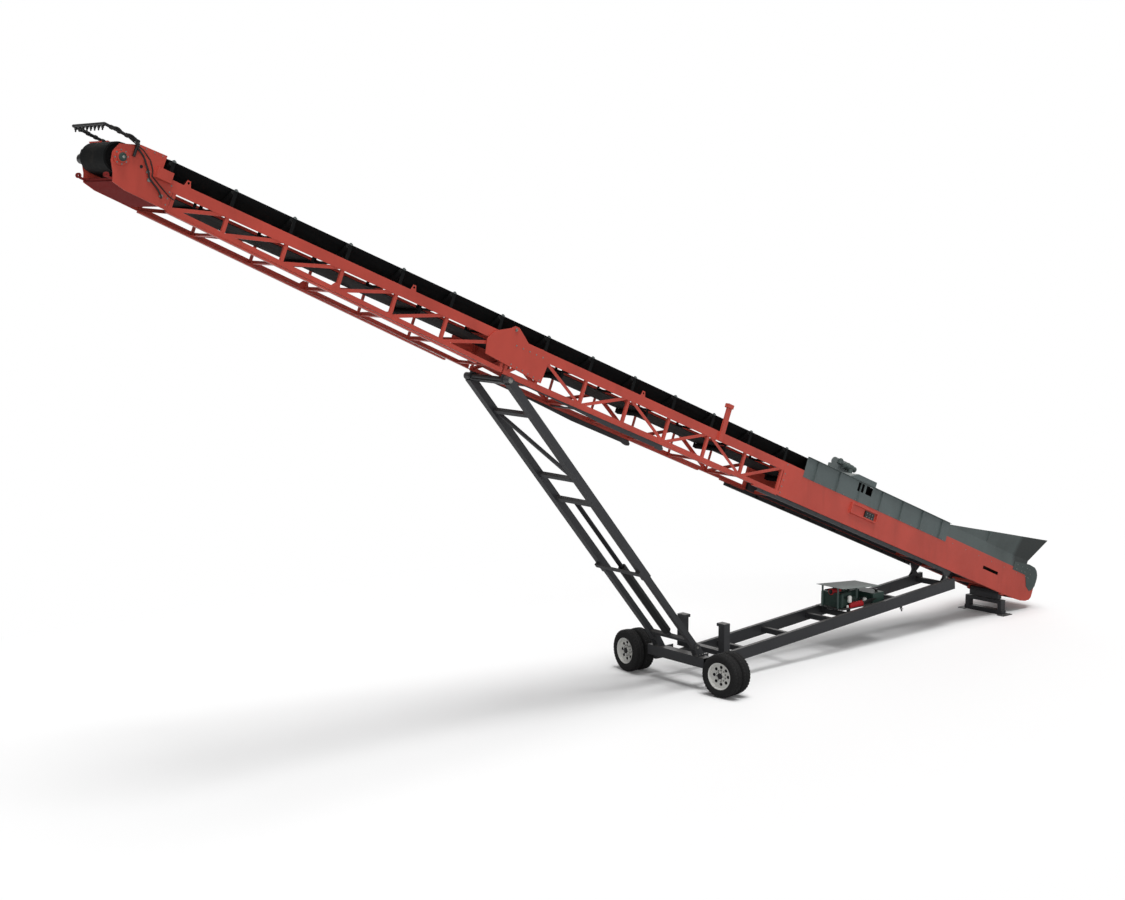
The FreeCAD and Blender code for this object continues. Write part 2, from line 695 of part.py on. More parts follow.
# ---- leg pivot, cradle, small fittings --------------------------------------
def leg_pivot_beam():
    """Tapered brackets and cross tube under the main truss for the leg tops."""
    top = -MAIN_DEPTH
    outline = [(S_LEG_TOP - 2020, top), (S_LEG_TOP + 80, top), (S_LEG_TOP + 80, N_LEG_TOP - 30),
               (S_LEG_TOP + 20, N_LEG_TOP - 65), (S_LEG_TOP - 90, N_LEG_TOP - 65),
               (S_LEG_TOP - 270, top - 45), (S_LEG_TOP - 1970, top - 25)]
    y1 = HALF_W - 20
    y0 = y1 - 20
    wing = side_plate(outline, y0, y1)
    boss_end = LEG_Y - LEG_TUBE / 2 - MOVE
    boss = rod(Vector(S_LEG_TOP, y1, N_LEG_TOP), Vector(S_LEG_TOP, boss_end, N_LEG_TOP), 42)
    cross = rod(Vector(S_LEG_TOP, -y0, N_LEG_TOP), Vector(S_LEG_TOP, y0, N_LEG_TOP), 50)
    tie = box(S_LEG_TOP - 1960, S_LEG_TOP - 1880, -y0, y0, top - 20, top)
    return fuse(both_sides(wing) + both_sides(boss) + [cross, tie])


def rest_cradle():
    """Upright cradle on the outside of the left top chord."""
    s = 10960.0
    post = box(s - 60, s + 60, HALF_W, HALF_W + 40, -CHORD_BELOW + 10, 560)
    cap = box(s - 75, s + 75, HALF_W - 40, HALF_W + 60, 560, 640)
    return fuse([post, cap])


def skirt_motor():
    """Hydraulic motor block on the hood, at its right edge."""
    y = -HALF_W - SHEET_T
    top = HOOD_TOP
    foot = box(6120, 6700, y, y + 300, top + SEAT, top + 20)
    body = box(6160, 6660, y + 20, y + 280, top + 20, top + 180)
    barrel = rod(Vector(6230, y + 150, top + 235), Vector(6640, y + 150, top + 235), 85)
    return fuse([foot, body, barrel])


# ---- head ---------------------------------------------------------------------
def from_drum(points):
    """Places given from the head drum's centre line, in (s, n)."""
    return [(BELT_CENTRES + s, n) for s, n in points]


def head_side():
    """Side plate of the head with the drum's bearing."""
    start = S_HEAD_PLATE - BELT_CENTRES
    outline = from_drum([(start, -head_depth(S_HEAD_PLATE)), (-615, -383), (-207, -371), (1, -325), (45, -191),
                         (130, -42), (150, 87), (85, 235), (-241, 352), (-689, 366), (-685, 145),
                         (-750, CHORD_TOP), (start, CHORD_TOP)])
    wall = side_plate(outline, HALF_W - ANGLE_T, HALF_W)
    centre = Vector(BELT_CENTRES, HALF_W, DRUM_N)
    flange = rod(centre, centre + Y_AXIS * 22, 125)
    bearing = rod(centre, centre + Y_AXIS * 62, 80)
    cap = rod(centre, centre + Y_AXIS * 90, 50)
    return fuse([wall, flange, bearing, cap])


def head_side_plates():
    return group(both_sides(head_side()))


def head_nose():
    """Cross tubes between the head plates."""
    y = HALF_W - ANGLE_T
    places = from_drum([(-30, -275), (-600, -330)])
    return group([rod(Vector(s, -y, n), Vector(s, y, n), 25) for s, n in places])


def head_tray():
    """Drip tray under the head drum."""
    y = HALF_W - ANGLE_T
    line = from_drum([(-830, -380), (-615, -374), (-207, -362), (-8, -317)])
    top = [(s, n + SHEET_T) for s, n in reversed(line)]
    return side_plate(line + top, -y, y)


def head_motor():
    """Hydraulic drive on the right of the head drum."""
    y = -HALF_W - 90
    flange = rod(Vector(BELT_CENTRES, y, DRUM_N), Vector(BELT_CENTRES, y - 60, DRUM_N), 110)
    body = rod(Vector(BELT_CENTRES, y - 60, DRUM_N), Vector(BELT_CENTRES, y - 240, DRUM_N), 80)
    block = box(BELT_CENTRES - 60, BELT_CENTRES + 60, y - 220, y - 100, DRUM_N + 50, DRUM_N + 130)
    return fuse([flange, body, block])


def head_cover():
    """Box on the left head plate."""
    s = BELT_CENTRES
    return box(s - 840, s - 580, HALF_W, HALF_W + 90, -10, 150)


def spray_hoop():
    """Pipe hoop carried ahead of the head drum, with the hose's union."""
    y = HALF_W + HOOP_R
    s = BELT_CENTRES
    left = [Vector(s - 175, y, 140), Vector(s - 175, y, 375), Vector(s + 410, y, 400)]
    right = [Vector(p.x, -p.y, p.z) for p in reversed(left)]
    union = rod(Vector(s + 120, y, 388), Vector(s + 120, y + UNION_REACH, 388), 18)
    return fuse([bent_rod(left + right, HOOP_R), union])


def head_hose():
    """Hose clipped to the left head plate, from the hoop to the lower chord."""
    outer = HALF_W + HOOP_R + UNION_REACH + HOSE_R + SEAT
    near = HALF_W + HOSE_R + SEAT
    line = [(130, outer, 390), (-55, outer, 335), (-270, outer, 276), (-450, near, 195), (-535, near, 78),
            (-555, near, -10), (-700, near, -84), (-896, near, -180), (-1000, near, -205)]
    return bent_rod([Vector(BELT_CENTRES + s, y, n) for s, y, n in line], HOSE_R)


# ---- undercarriage ------------------------------------------------------------
def rail_z(x):
    share = (x - RAIL_TAIL.x) / (RAIL_HEAD.x - RAIL_TAIL.x)
    return RAIL_TAIL.z + share * (RAIL_HEAD.z - RAIL_TAIL.z)


def tongue_frame():
    """Ladder frame from the axle up to the luffing pins, its rails shallower at the axle."""
    side = Vector(0, RAIL_Y, 0)
    inner = RAIL_Y - RAIL_WIDTH / 2
    outer = RAIL_Y + RAIL_WIDTH / 2
    over = Vector(100, 0, rail_z(RAIL_HEAD.x + 100) - RAIL_HEAD.z)
    rail = tube(RAIL_TAIL + side, RAIL_HEAD + over + side, RAIL_WIDTH, RAIL_DEPTH, 6)
    rail = rail.cut(box(RAIL_HEAD.x, RAIL_HEAD.x + 300, inner - 1, outer + 1, 0, 1000))
    taper_x = RAIL_HEAD.x - RAIL_TAPER
    taper_z = rail_z(taper_x) - RAIL_DEPTH / 2
    wedge = [(taper_x, taper_z), (RAIL_HEAD.x + 1, RAIL_END_LOW), (RAIL_HEAD.x + 1, 0), (taper_x, 0)]
    pieces = both_sides(rail.cut(side_plate(wedge, inner - 1, outer + 1)))
    for x in TIE_STATIONS:
        z = rail_z(x)
        pieces.append(bar(Vector(x, -inner, z), Vector(x, inner, z), 90, 110))
    return fuse(pieces)


def kingpin_spot():
    """Left kingpin's place on plan."""
    angle = math.radians(toe())
    x = WHEEL_X - KINGPIN_BACK * math.cos(angle) + KINGPIN_SIDE * math.sin(angle)
    y = TRACK / 2 - KINGPIN_BACK * math.sin(angle) - KINGPIN_SIDE * math.cos(angle)
    return x, y


def kingpin_plate(low):
    """Plate with a rounded end behind the axle beam, bored for the kingpin."""
    x, y = kingpin_spot()
    radius = KINGPIN_R + 20
    flat = box(x, WHEEL_X - 60, y - radius, AXLE_HALF, low, low + KNUCKLE_PLATE)
    boss = rod(Vector(x, y, low), Vector(x, y, low + KNUCKLE_PLATE), radius)
    bore = rod(Vector(x, y, low - 1), Vector(x, y, low + KNUCKLE_PLATE + 1), KINGPIN_R + RUN)
    return fuse([flat, boss]).cut(bore)


def axle_beam():
    """Cross beam with gussets on the rails and a kingpin clevis behind each end."""
    middle = (AXLE_LOW + AXLE_TOP) / 2
    depth = AXLE_TOP - AXLE_LOW
    beam = tube(Vector(WHEEL_X, -AXLE_HALF, middle), Vector(WHEEL_X, AXLE_HALF, middle), 200, depth, 10)
    low = KNUCKLE_LOW - MOVE - KNUCKLE_PLATE
    end = kingpin_spot()[1] - KINGPIN_R - 20
    drop = box(WHEEL_X - 90, WHEEL_X - 60, end, AXLE_HALF, low, AXLE_LOW + 5)
    face = RAIL_Y + RAIL_WIDTH / 2 + SEAT
    gusset = box(WHEEL_X - 320, WHEEL_X - 95, face, face + 14, AXLE_LOW, AXLE_TOP - 10)
    pieces = [kingpin_plate(low), kingpin_plate(KNUCKLE_TOP + MOVE), drop, gusset]
    ends = []
    for piece in pieces:
        ends += both_sides(piece)
    return fuse([beam] + ends)


def rest_posts():
    """Cross beam on the rails, with the posts that take the lowered truss."""
    half = POST_SIDE / 2
    low = rail_top(POST_X - half)
    top = low + 100
    reach = POST_Y + half
    cap_low = POST_TOP - 60
    cross = box(POST_X - half, POST_X + half, -reach, reach, low, top)
    foot = Vector(POST_X, POST_Y, top - 1)
    post = tube(foot, Vector(POST_X, POST_Y, cap_low + 1), POST_SIDE, POST_SIDE, 8)
    cap = box(POST_X - half, POST_X + half, RAIL_Y, reach, cap_low, POST_TOP)
    return fuse([cross] + both_sides(post) + both_sides(cap))


def leg_base_bracket():
    """Clevis plates on the axle beam with a lower leg pin."""
    half = LEG_TUBE / 2
    x = LEG_BASE_X
    z = LEG_BASE_Z
    outline = [(x - 200, AXLE_TOP), (x - 25, AXLE_TOP), (x + 60, z - 30), (x + 60, z + 40), (x, z + 75), (x - 60, z + 40)]
    pieces = [side_plate(outline, y, y + PLATE_T) for y in (LEG_Y - half - 14, LEG_Y + half + 2)]
    pieces.append(rod(Vector(x, LEG_Y - half - 14, z), Vector(x, LEG_Y + half + 14, z), LEG_PIN_R))
    return fuse(pieces)


def leg_base_brackets():
    return group(both_sides(leg_base_bracket()))


def tail_swivel():
    """Upright bolster on the kingpin, hinged to the conveyor's side plates."""
    low = STAND_TOP + STAND_COLLAR + FACE
    bolster = box(-70, 70, -BOLSTER_HALF, BOLSTER_HALF, low, BOLSTER_TOP)
    reach = BOLSTER_HALF + 5
    tube_part = rod(Vector(0, -reach, TILT_Z), Vector(0, reach, TILT_Z), 50)
    pin_end = HALF_W - ANGLE_T - 2
    pin = rod(Vector(0, -pin_end, TILT_Z), Vector(0, pin_end, TILT_Z), TILT_PIN_R)
    bore = rod(Vector(0, 0, low - 1), Vector(0, 0, TILT_Z - 45), SLEW_PIN_R + RUN)
    return fuse([bolster, tube_part, pin]).cut(bore)


def rail_top(x):
    """Upper face of the tongue's rails, with a hair of room."""
    run = RAIL_HEAD.x - RAIL_TAIL.x
    return rail_z(x) + RAIL_DEPTH / 2 * (RAIL_HEAD - RAIL_TAIL).Length / run + SEAT


def round_top(x, z, radius):
    """Corners of a rounded end, from its right side over the top to its left."""
    corners = []
    for step in range(7):
        angle = math.pi * step / 6
        corners.append((x + radius * math.cos(angle), z + radius * math.sin(angle)))
    return corners


def luff_clevis():
    """Plates on the tongue's rail with the luffing pin."""
    cheek_t = 14.0
    low_y = LUFF_LUG_Y - MOVE - cheek_t
    high_y = LUFF_LUG_Y + LUFF_LUG_T + MOVE
    end_y = high_y + cheek_t
    x0 = LUFF_X - 120
    x1 = LUFF_X + 140
    base = [(x0, rail_top(x0)), (x1, rail_top(x1))]
    outline = base + round_top(LUFF_X, LUFF_Z, LUFF_PIN_R + 20)
    pieces = [side_plate(outline, y, y + cheek_t) for y in (low_y, high_y)]
    foot = base + [(x1, rail_top(x1) + PLATE_T), (x0, rail_top(x0) + PLATE_T)]
    pieces.append(side_plate(foot, low_y, end_y))
    pieces.append(rod(Vector(LUFF_X, low_y, LUFF_Z), Vector(LUFF_X, end_y, LUFF_Z), LUFF_PIN_R))
    return fuse(pieces)


def luff_clevises():
    return group(both_sides(luff_clevis()))


def tail_stand():
    """Ground portal with the slewing kingpin and four anchor holes."""
    half = STAND_HALF_X
    outer = STAND_Y + STAND_LEG / 2
    beam_low = STAND_TOP - 80
    pieces = [box(-half, half, -outer - 20, outer + 20, 0, STAND_BAR),
              box(-half, half, -outer, outer, beam_low, STAND_TOP)]
    for y in (-STAND_Y, STAND_Y):
        leg_side = STAND_LEG / 2
        pieces.append(box(-half, half, y - leg_side, y + leg_side, STAND_BAR, beam_low))
    collar_top = STAND_TOP + STAND_COLLAR
    pieces.append(rod(Vector(0, 0, STAND_TOP), Vector(0, 0, collar_top), SLEW_PIN_R + 30))
    pieces.append(rod(Vector(0, 0, beam_low), Vector(0, 0, TILT_Z - 50), SLEW_PIN_R))
    foot_t = 14.0
    foot = box(-STAND_FOOT_X, STAND_FOOT_X, STAND_Y, STAND_FOOT_Y, 0, foot_t)
    pieces += both_sides(foot)
    stand = fuse(pieces)
    for x in (-ANCHOR_X, ANCHOR_X):
        for y in (-ANCHOR_Y, ANCHOR_Y):
            stand = stand.cut(rod(Vector(x, y, -1), Vector(x, y, foot_t + 1), ANCHOR_R))
    return stand


def pack_floor():
    """Height of the power pack's floor."""
    return rail_z(PACK_TAIL) + 65


def power_pack_tray():
    """Level tray for the power pack, on feet that stand on the tongue's ties."""
    floor = pack_floor()
    pieces = [box(PACK_TAIL, PACK_HEAD, -PACK_HALF, PACK_HALF, floor - PLATE_T, floor)]
    for x in TIE_STATIONS[2:4]:
        pieces += both_sides(box(x - 30, x + 30, PACK_HALF - 80, PACK_HALF - 20, rail_z(x) + 55 + SEAT, floor - 1))
    return fuse(pieces)


def engine_block():
    floor = pack_floor() + SEAT
    return box(PACK_TAIL + 845, PACK_TAIL + 1395, -290, 290, floor, floor + 320)


def fluid_tanks():
    """Fuel and oil tanks with open undersides."""
    floor = pack_floor() + SEAT
    wall = 5.0
    tanks = []
    sizes = ((60.0, 420.0, -330.0, 330.0, 210.0), (460.0, 800.0, -330.0, -20.0, 260.0))
    for start, end, y0, y1, height in sizes:
        x0 = PACK_TAIL + start
        x1 = PACK_TAIL + end
        shell = box(x0, x1, y0, y1, floor, floor + height)
        hollow = box(x0 + wall, x1 - wall, y0 + wall, y1 - wall, floor - 1, floor + height - wall)
        tanks.append(shell.cut(hollow))
    return group(tanks)


def power_pack_roof():
    """Tilted roof plate on four inset posts."""
    floor = pack_floor() + SEAT
    x0 = PACK_TAIL + 200.0
    x1 = PACK_TAIL + 1450.0
    z0 = 1225.0
    z1 = 1318.0
    half = PACK_HALF
    post = 30.0
    pieces = [side_plate([(x0, z0), (x1, z1), (x1, z1 + SHEET_T), (x0, z0 + SHEET_T)], -half, half)]
    for x in (PACK_TAIL + 808, PACK_TAIL + 1405):
        top = z0 + (x - x0) * (z1 - z0) / (x1 - x0)
        pieces += both_sides(box(x, x + post, 200, 200 + post, floor, top + 3))
    return fuse(pieces)


# ---- lifting legs -------------------------------------------------------------
def leg_line():
    """Placement of the leg frame (+X up the leg) and the distance between its pivots."""
    low = Vector(LEG_BASE_X, 0, LEG_BASE_Z)
    line = at(S_LEG_TOP, 0, N_LEG_TOP) - low
    return Placement(low, Rotation(Vector(1, 0, 0), line)), line.Length


def on_leg(shape):
    placed = shape.copy()
    placed.Placement = leg_line()[0].multiply(placed.Placement)
    return placed


def leg_inner():
    """Lower legs with their eyes, a tie and the ram's lug."""
    boss_half = LEG_TUBE / 2 - MOVE + 2
    leg = tube(Vector(30, LEG_Y, 0), Vector(LEG_OVERLAP_END, LEG_Y, 0), LEG_INNER_TUBE, LEG_INNER_TUBE, 8)
    shoe = LEG_TUBE - 2 * LEG_WALL - 2 * FACE
    pad = bar(Vector(LEG_OVERLAP_END - 120, LEG_Y, 0), Vector(LEG_OVERLAP_END, LEG_Y, 0), shoe, shoe)
    eye = rod(Vector(0, LEG_Y - boss_half, 0), Vector(0, LEG_Y + boss_half, 0), 60)
    bore = rod(Vector(0, LEG_Y - 100, 0), Vector(0, LEG_Y + 100, 0), LEG_PIN_R + RUN)
    one = fuse([leg, pad, eye]).cut(bore)
    tie = bar(Vector(180, -LEG_Y + 40, 0), Vector(180, LEG_Y - 40, 0), 90, 70)
    lug = bar(Vector(180, 0, 0), Vector(RAM_FOOT, 0, 0), 80, 60)
    return on_leg(fuse(both_sides(one) + [tie, lug]))


def leg_outer():
    """Upper legs tied into a ladder with one diagonal."""
    length = leg_line()[1]
    half = LEG_TUBE / 2
    start = length * LEG_FOOT_SHARE
    leg = tube(Vector(start, LEG_Y, 0), Vector(length - 40, LEG_Y, 0), LEG_TUBE, LEG_TUBE, LEG_WALL)
    eye = rod(Vector(length, LEG_Y - half, 0), Vector(length, LEG_Y + half, 0), 65)
    reach = LEG_Y - half + 4
    ties = []
    for share in (RAM_TIE_SHARE, MID_TIE_SHARE, TOP_TIE_SHARE):
        ties.append(bar(Vector(length * share, -reach, 0), Vector(length * share, reach, 0), 80, 80))
    low = length * LOW_TIE_SHARE
    side = LEG_Y + half
    ties.append(box(low - 40, low + 40, -side, side, -RAM_R - 40, -RAM_R - 10))
    ties += both_sides(box(low - 40, low + 40, LEG_Y - half, side, -RAM_R - 11, -half + 1))
    brace_low = Vector(length * MID_TIE_SHARE, reach, 0)
    brace_top = Vector(length * TOP_TIE_SHARE, -reach, 0)
    ties.append(bar(brace_low, brace_top, 60, 60))
    return on_leg(fuse(both_sides(leg) + both_sides(eye) + ties))


def ram_barrel():
    outer = rod(Vector(RAM_FOOT, 0, 0), Vector(RAM_END, 0, 0), RAM_R)
    hollow = rod(Vector(RAM_FOOT + 60, 0, 0), Vector(RAM_END + 1, 0, 0), ROD_R + 6)
    return on_leg(outer.cut(hollow))


def ram_rod():
    length = leg_line()[1]
    return on_leg(rod(Vector(RAM_END - 130, 0, 0), Vector(length * RAM_TIE_SHARE - 40, 0, 0), ROD_R))


# ---- wheels ---------------------------------------------------------------------
def toe():
    return math.degrees(math.atan2(TRACK / 2, WHEEL_X))


def wheel_place(shape):
    """Left wheel frame: +X along the axle away from the tail pivot."""
    placed = shape.copy()
    spot = Placement(Vector(WHEEL_X, TRACK / 2, TYRE_OD / 2), Rotation(Vector(0, 0, 1), toe()))
    placed.Placement = spot.multiply(placed.Placement)
    return placed


def ring(outline):
    """Solid of revolution about the wheel's axle from (x, radius) corners."""
    return face_of([Vector(x, 0, r) for x, r in outline]).revolve(Vector(0, 0, 0), Vector(1, 0, 0), 360)


def tyre(x0):
    r = TYRE_OD / 2
    x1 = x0 + TYRE_W
    bead = RIM_R + FACE
    return ring([(x0 + 22, bead), (x0, r - 110), (x0 + 6, r - 45), (x0 + 26, r - 8), (x0 + 50, r),
                 (x1 - 50, r), (x1 - 26, r - 8), (x1 - 6, r - 45), (x1, r - 110), (x1 - 22, bead)])


def twin_tyres():
    return group([wheel_place(tyre(-TWIN_GAP / 2 - TYRE_W)), wheel_place(tyre(TWIN_GAP / 2))])


def twin_rim():
    half = TWIN_GAP / 2 + TYRE_W
    inner = RIM_R - RIM_WALL
    barrel = ring([(-half + 16, inner), (-half + 16, RIM_R), (half - 16, RIM_R), (half - 16, inner)])
    disc = ring([(half - 90, 60), (half - 90, RIM_R - 2), (half - 76, RIM_R - 2), (half - 76, 60)])
    bore = STUB_R + RUN
    hub = ring([(-half + 8, bore), (-half + 8, 90), (half - 40, 90), (half - 40, 30), (half - 60, 0),
                (half - 100, 0), (half - 100, bore)])
    solid = fuse([barrel, disc, hub])
    for i in range(HAND_HOLE_COUNT):
        angle = 2 * math.pi * i / HAND_HOLE_COUNT
        spot = Vector(half - 120, 165 * math.cos(angle), 165 * math.sin(angle))
        solid = solid.cut(rod(spot, spot + Vector(60, 0, 0), HAND_HOLE_R))
    return wheel_place(solid)


def knuckle():
    """Swivel arm behind the twins, with stub axle and kingpin."""
    half = TWIN_GAP / 2 + TYRE_W
    drop = TYRE_OD / 2
    width = KNUCKLE_WIDTH / 2
    x = -KINGPIN_BACK
    y = -KINGPIN_SIDE
    low = KNUCKLE_LOW - drop
    top = KNUCKLE_TOP - drop
    reach = KNUCKLE_PLATE + MOVE + 10
    arm = box(x - width, x + width, y, 90, low, top)
    boss = rod(Vector(x, y, low), Vector(x, y, top), KINGPIN_R + 15)
    stub = rod(Vector(x, 0, 0), Vector(half - 110, 0, 0), STUB_R)
    kingpin = rod(Vector(x, y, low - reach), Vector(x, y, top + reach), KINGPIN_R)
    return wheel_place(fuse([arm, boss, stub, kingpin]))


# ---- export -----------------------------------------------------------------------
CONVEYOR_PIECES = {
    "main_truss_left": main_truss,
    "head_truss_left": head_truss,
    "main_cross_members": main_cross_members,
    "head_cross_members": head_cross_members,
    "fold_plates_main": fold_plates_main,
    "fold_plates_head": fold_plates_head,
    "tail_side_left": tail_side,
    "tail_cross_members": tail_cross_members,
    "tail_pivot_bearings": tail_pivot_bearings,
    "under_beams": under_beams,
    "luff_lugs": luff_lugs,
    "skirt_left": skirt,
    "skirt_hood": skirt_hood,
    "feed_hopper": feed_hopper,
    "tail_cover": tail_cover,
    "belt_main": belt_main,
    "belt_head": belt_head,
    "idlers_main": idlers_main,
    "idlers_head": idlers_head,
    "return_rollers_main": return_rollers_main,
    "return_rollers_head": return_rollers_head,
    "leg_pivot_beam": leg_pivot_beam,
    "rest_cradle": rest_cradle,
    "skirt_motor": skirt_motor,
    "head_side_plates": head_side_plates,
    "head_nose": head_nose,
    "head_tray": head_tray,
    "head_motor": head_motor,
    "head_cover": head_cover,
    "spray_hoop": spray_hoop,
    "head_hose": head_hose,
}

GROUND_PIECES = {
    "tongue_frame": tongue_frame,
    "axle_beam": axle_beam,
    "rest_posts": rest_posts,
    "leg_base_brackets": leg_base_brackets,
    "tail_swivel": tail_swivel,
    "luff_clevises": luff_clevises,
    "tail_stand": tail_stand,
    "power_pack_tray": power_pack_tray,
    "engine_block": engine_block,
    "fluid_tanks": fluid_tanks,
    "power_pack_roof": power_pack_roof,
    "leg_inner": leg_inner,
    "leg_outer": leg_outer,
    "ram_barrel": ram_barrel,
    "ram_rod": ram_rod,
    "knuckle_left": knuckle,
    "tyres_left": twin_tyres,
    "rims_left": twin_rim,
}


def build():
    pieces = {}
    for name, make in CONVEYOR_PIECES.items():
        pieces[name] = on_conveyor(make())
    pieces["tail_drum"] = on_conveyor(drum(0.0))
    pieces["head_drum"] = on_conveyor(drum(BELT_CENTRES))
    for name, make in GROUND_PIECES.items():
        pieces[name] = make()
    for name in list(pieces):
        if name.endswith("_left"):
            pieces[name.replace("_left", "_right")] = mirror_y(pieces[name])
    return pieces


os.makedirs(PARTS, exist_ok=True)
for piece_name, piece_shape in build().items():
    piece_shape.exportStep(os.path.join(PARTS, piece_name + ".step"))
    print(piece_name, len(piece_shape.Solids), round(piece_shape.Volume / 1e9, 5), piece_shape.isValid())
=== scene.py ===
import bmesh
import bpy
import json
import math
from mathutils import Matrix, Vector


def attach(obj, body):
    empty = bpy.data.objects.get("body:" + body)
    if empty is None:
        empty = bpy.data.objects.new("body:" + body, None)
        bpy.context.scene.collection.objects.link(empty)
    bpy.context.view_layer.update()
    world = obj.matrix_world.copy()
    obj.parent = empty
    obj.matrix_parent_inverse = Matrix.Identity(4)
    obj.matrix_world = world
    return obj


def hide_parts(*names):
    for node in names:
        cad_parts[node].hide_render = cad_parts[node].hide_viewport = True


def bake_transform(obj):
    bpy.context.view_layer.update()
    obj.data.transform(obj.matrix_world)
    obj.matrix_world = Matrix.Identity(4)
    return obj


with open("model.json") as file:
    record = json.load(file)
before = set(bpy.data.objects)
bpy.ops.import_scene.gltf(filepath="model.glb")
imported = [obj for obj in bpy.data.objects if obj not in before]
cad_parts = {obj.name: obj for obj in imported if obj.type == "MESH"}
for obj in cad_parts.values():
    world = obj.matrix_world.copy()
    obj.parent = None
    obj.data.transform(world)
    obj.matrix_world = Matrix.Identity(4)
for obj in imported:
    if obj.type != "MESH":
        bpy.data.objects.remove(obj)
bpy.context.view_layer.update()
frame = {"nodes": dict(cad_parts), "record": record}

# Dressing, materials, light and camera of the radial stacker conveyor, in metres.
# On the conveyor a point is (s, y, n): along the belt from the tail drum, across it, square to it.
# A side is 1 for the left, towards +Y, or -1 for the right.

# ---------------------------------------------------------------- places
SIDES = (1, -1)
WORDS = {1: "left", -1: "right"}
AHEAD = (1, 0, 0)
LEFT = (0, 1, 0)
UP = (0, 0, 1)
GROUND = Matrix.Identity(4)

SLOPE = math.radians(22.0)
TAIL = Vector((-0.9, 0.0, 0.79))
CONVEYOR = Matrix.Translation(TAIL) @ Matrix.Rotation(-SLOPE, 4, "Y")
S_HEAD = 24.4                # head drum; the tail drum is at 0
N_DRUM = 0.06                # both drums
S_FOLD = 16.53               # hinge of the head section
N_FOLD = 0.19
IDLER_FIRST = 23.57          # idler next to the head drum
IDLER_PITCH = 1.119
HALF_W = 0.48                # outer face of the trusses and the side plates
SKIRT_FACE = 0.486
BEARING_FACE = 0.4862        # plates that carry the tail drum
HEAD_FACE = 0.502            # flange of the head drum's bearing
FOLD_FACE = 0.509            # outer plates of the fold hinge
RECESS_FACE = 0.512          # valve box in the side channel
SEAT = 0.0003                # between a fitting and the face it stands on

LEG_FOOT = Vector((9.99, 0.0, 0.84))
LEG_HEAD = CONVEYOR @ Vector((16.42, 0.0, -0.69))
LEG_LENGTH = (LEG_HEAD - LEG_FOOT).length
LEG_ANGLE = math.atan2(LEG_HEAD.z - LEG_FOOT.z, LEG_HEAD.x - LEG_FOOT.x)
LEG = Matrix.Translation(LEG_FOOT) @ Matrix.Rotation(-LEG_ANGLE, 4, "Y")

LUFF_X, LUFF_Z = 2.1, 1.15
RAIL_TAIL = Vector((1.8, 0.0, 0.972))
RAIL_HEAD = Vector((9.77, 0.0, 0.3696))
RAIL_FALL = (RAIL_TAIL.z - RAIL_HEAD.z) / (RAIL_HEAD.x - RAIL_TAIL.x)
PACK_X = 4.0                 # tail end of the power pack's tray
TRAY_RISE = 0.066            # upper face of the tray over the rails' middle line
PACK = Matrix.Translation((0, 0, RAIL_TAIL.z - (PACK_X - RAIL_TAIL.x) * RAIL_FALL + TRAY_RISE))

WHEEL_X, WHEEL_Y, WHEEL_Z = 9.87, 1.305, 0.425
TOE = math.atan2(WHEEL_Y, WHEEL_X)


def wheel_place(side):
    """Wheel frame: +X along the axle, away from the slewing pin."""
    spot = Matrix.Translation((WHEEL_X, side * WHEEL_Y, WHEEL_Z))
    return spot @ Matrix.Rotation(side * TOE, 4, "Z")


def around(count, radius, phase=0.0):
    """Evenly spaced points on a circle about 0; phase is a part of one step."""
    for i in range(count):
        angle = 2 * math.pi * (i + phase) / count
        yield radius * math.cos(angle), radius * math.sin(angle)


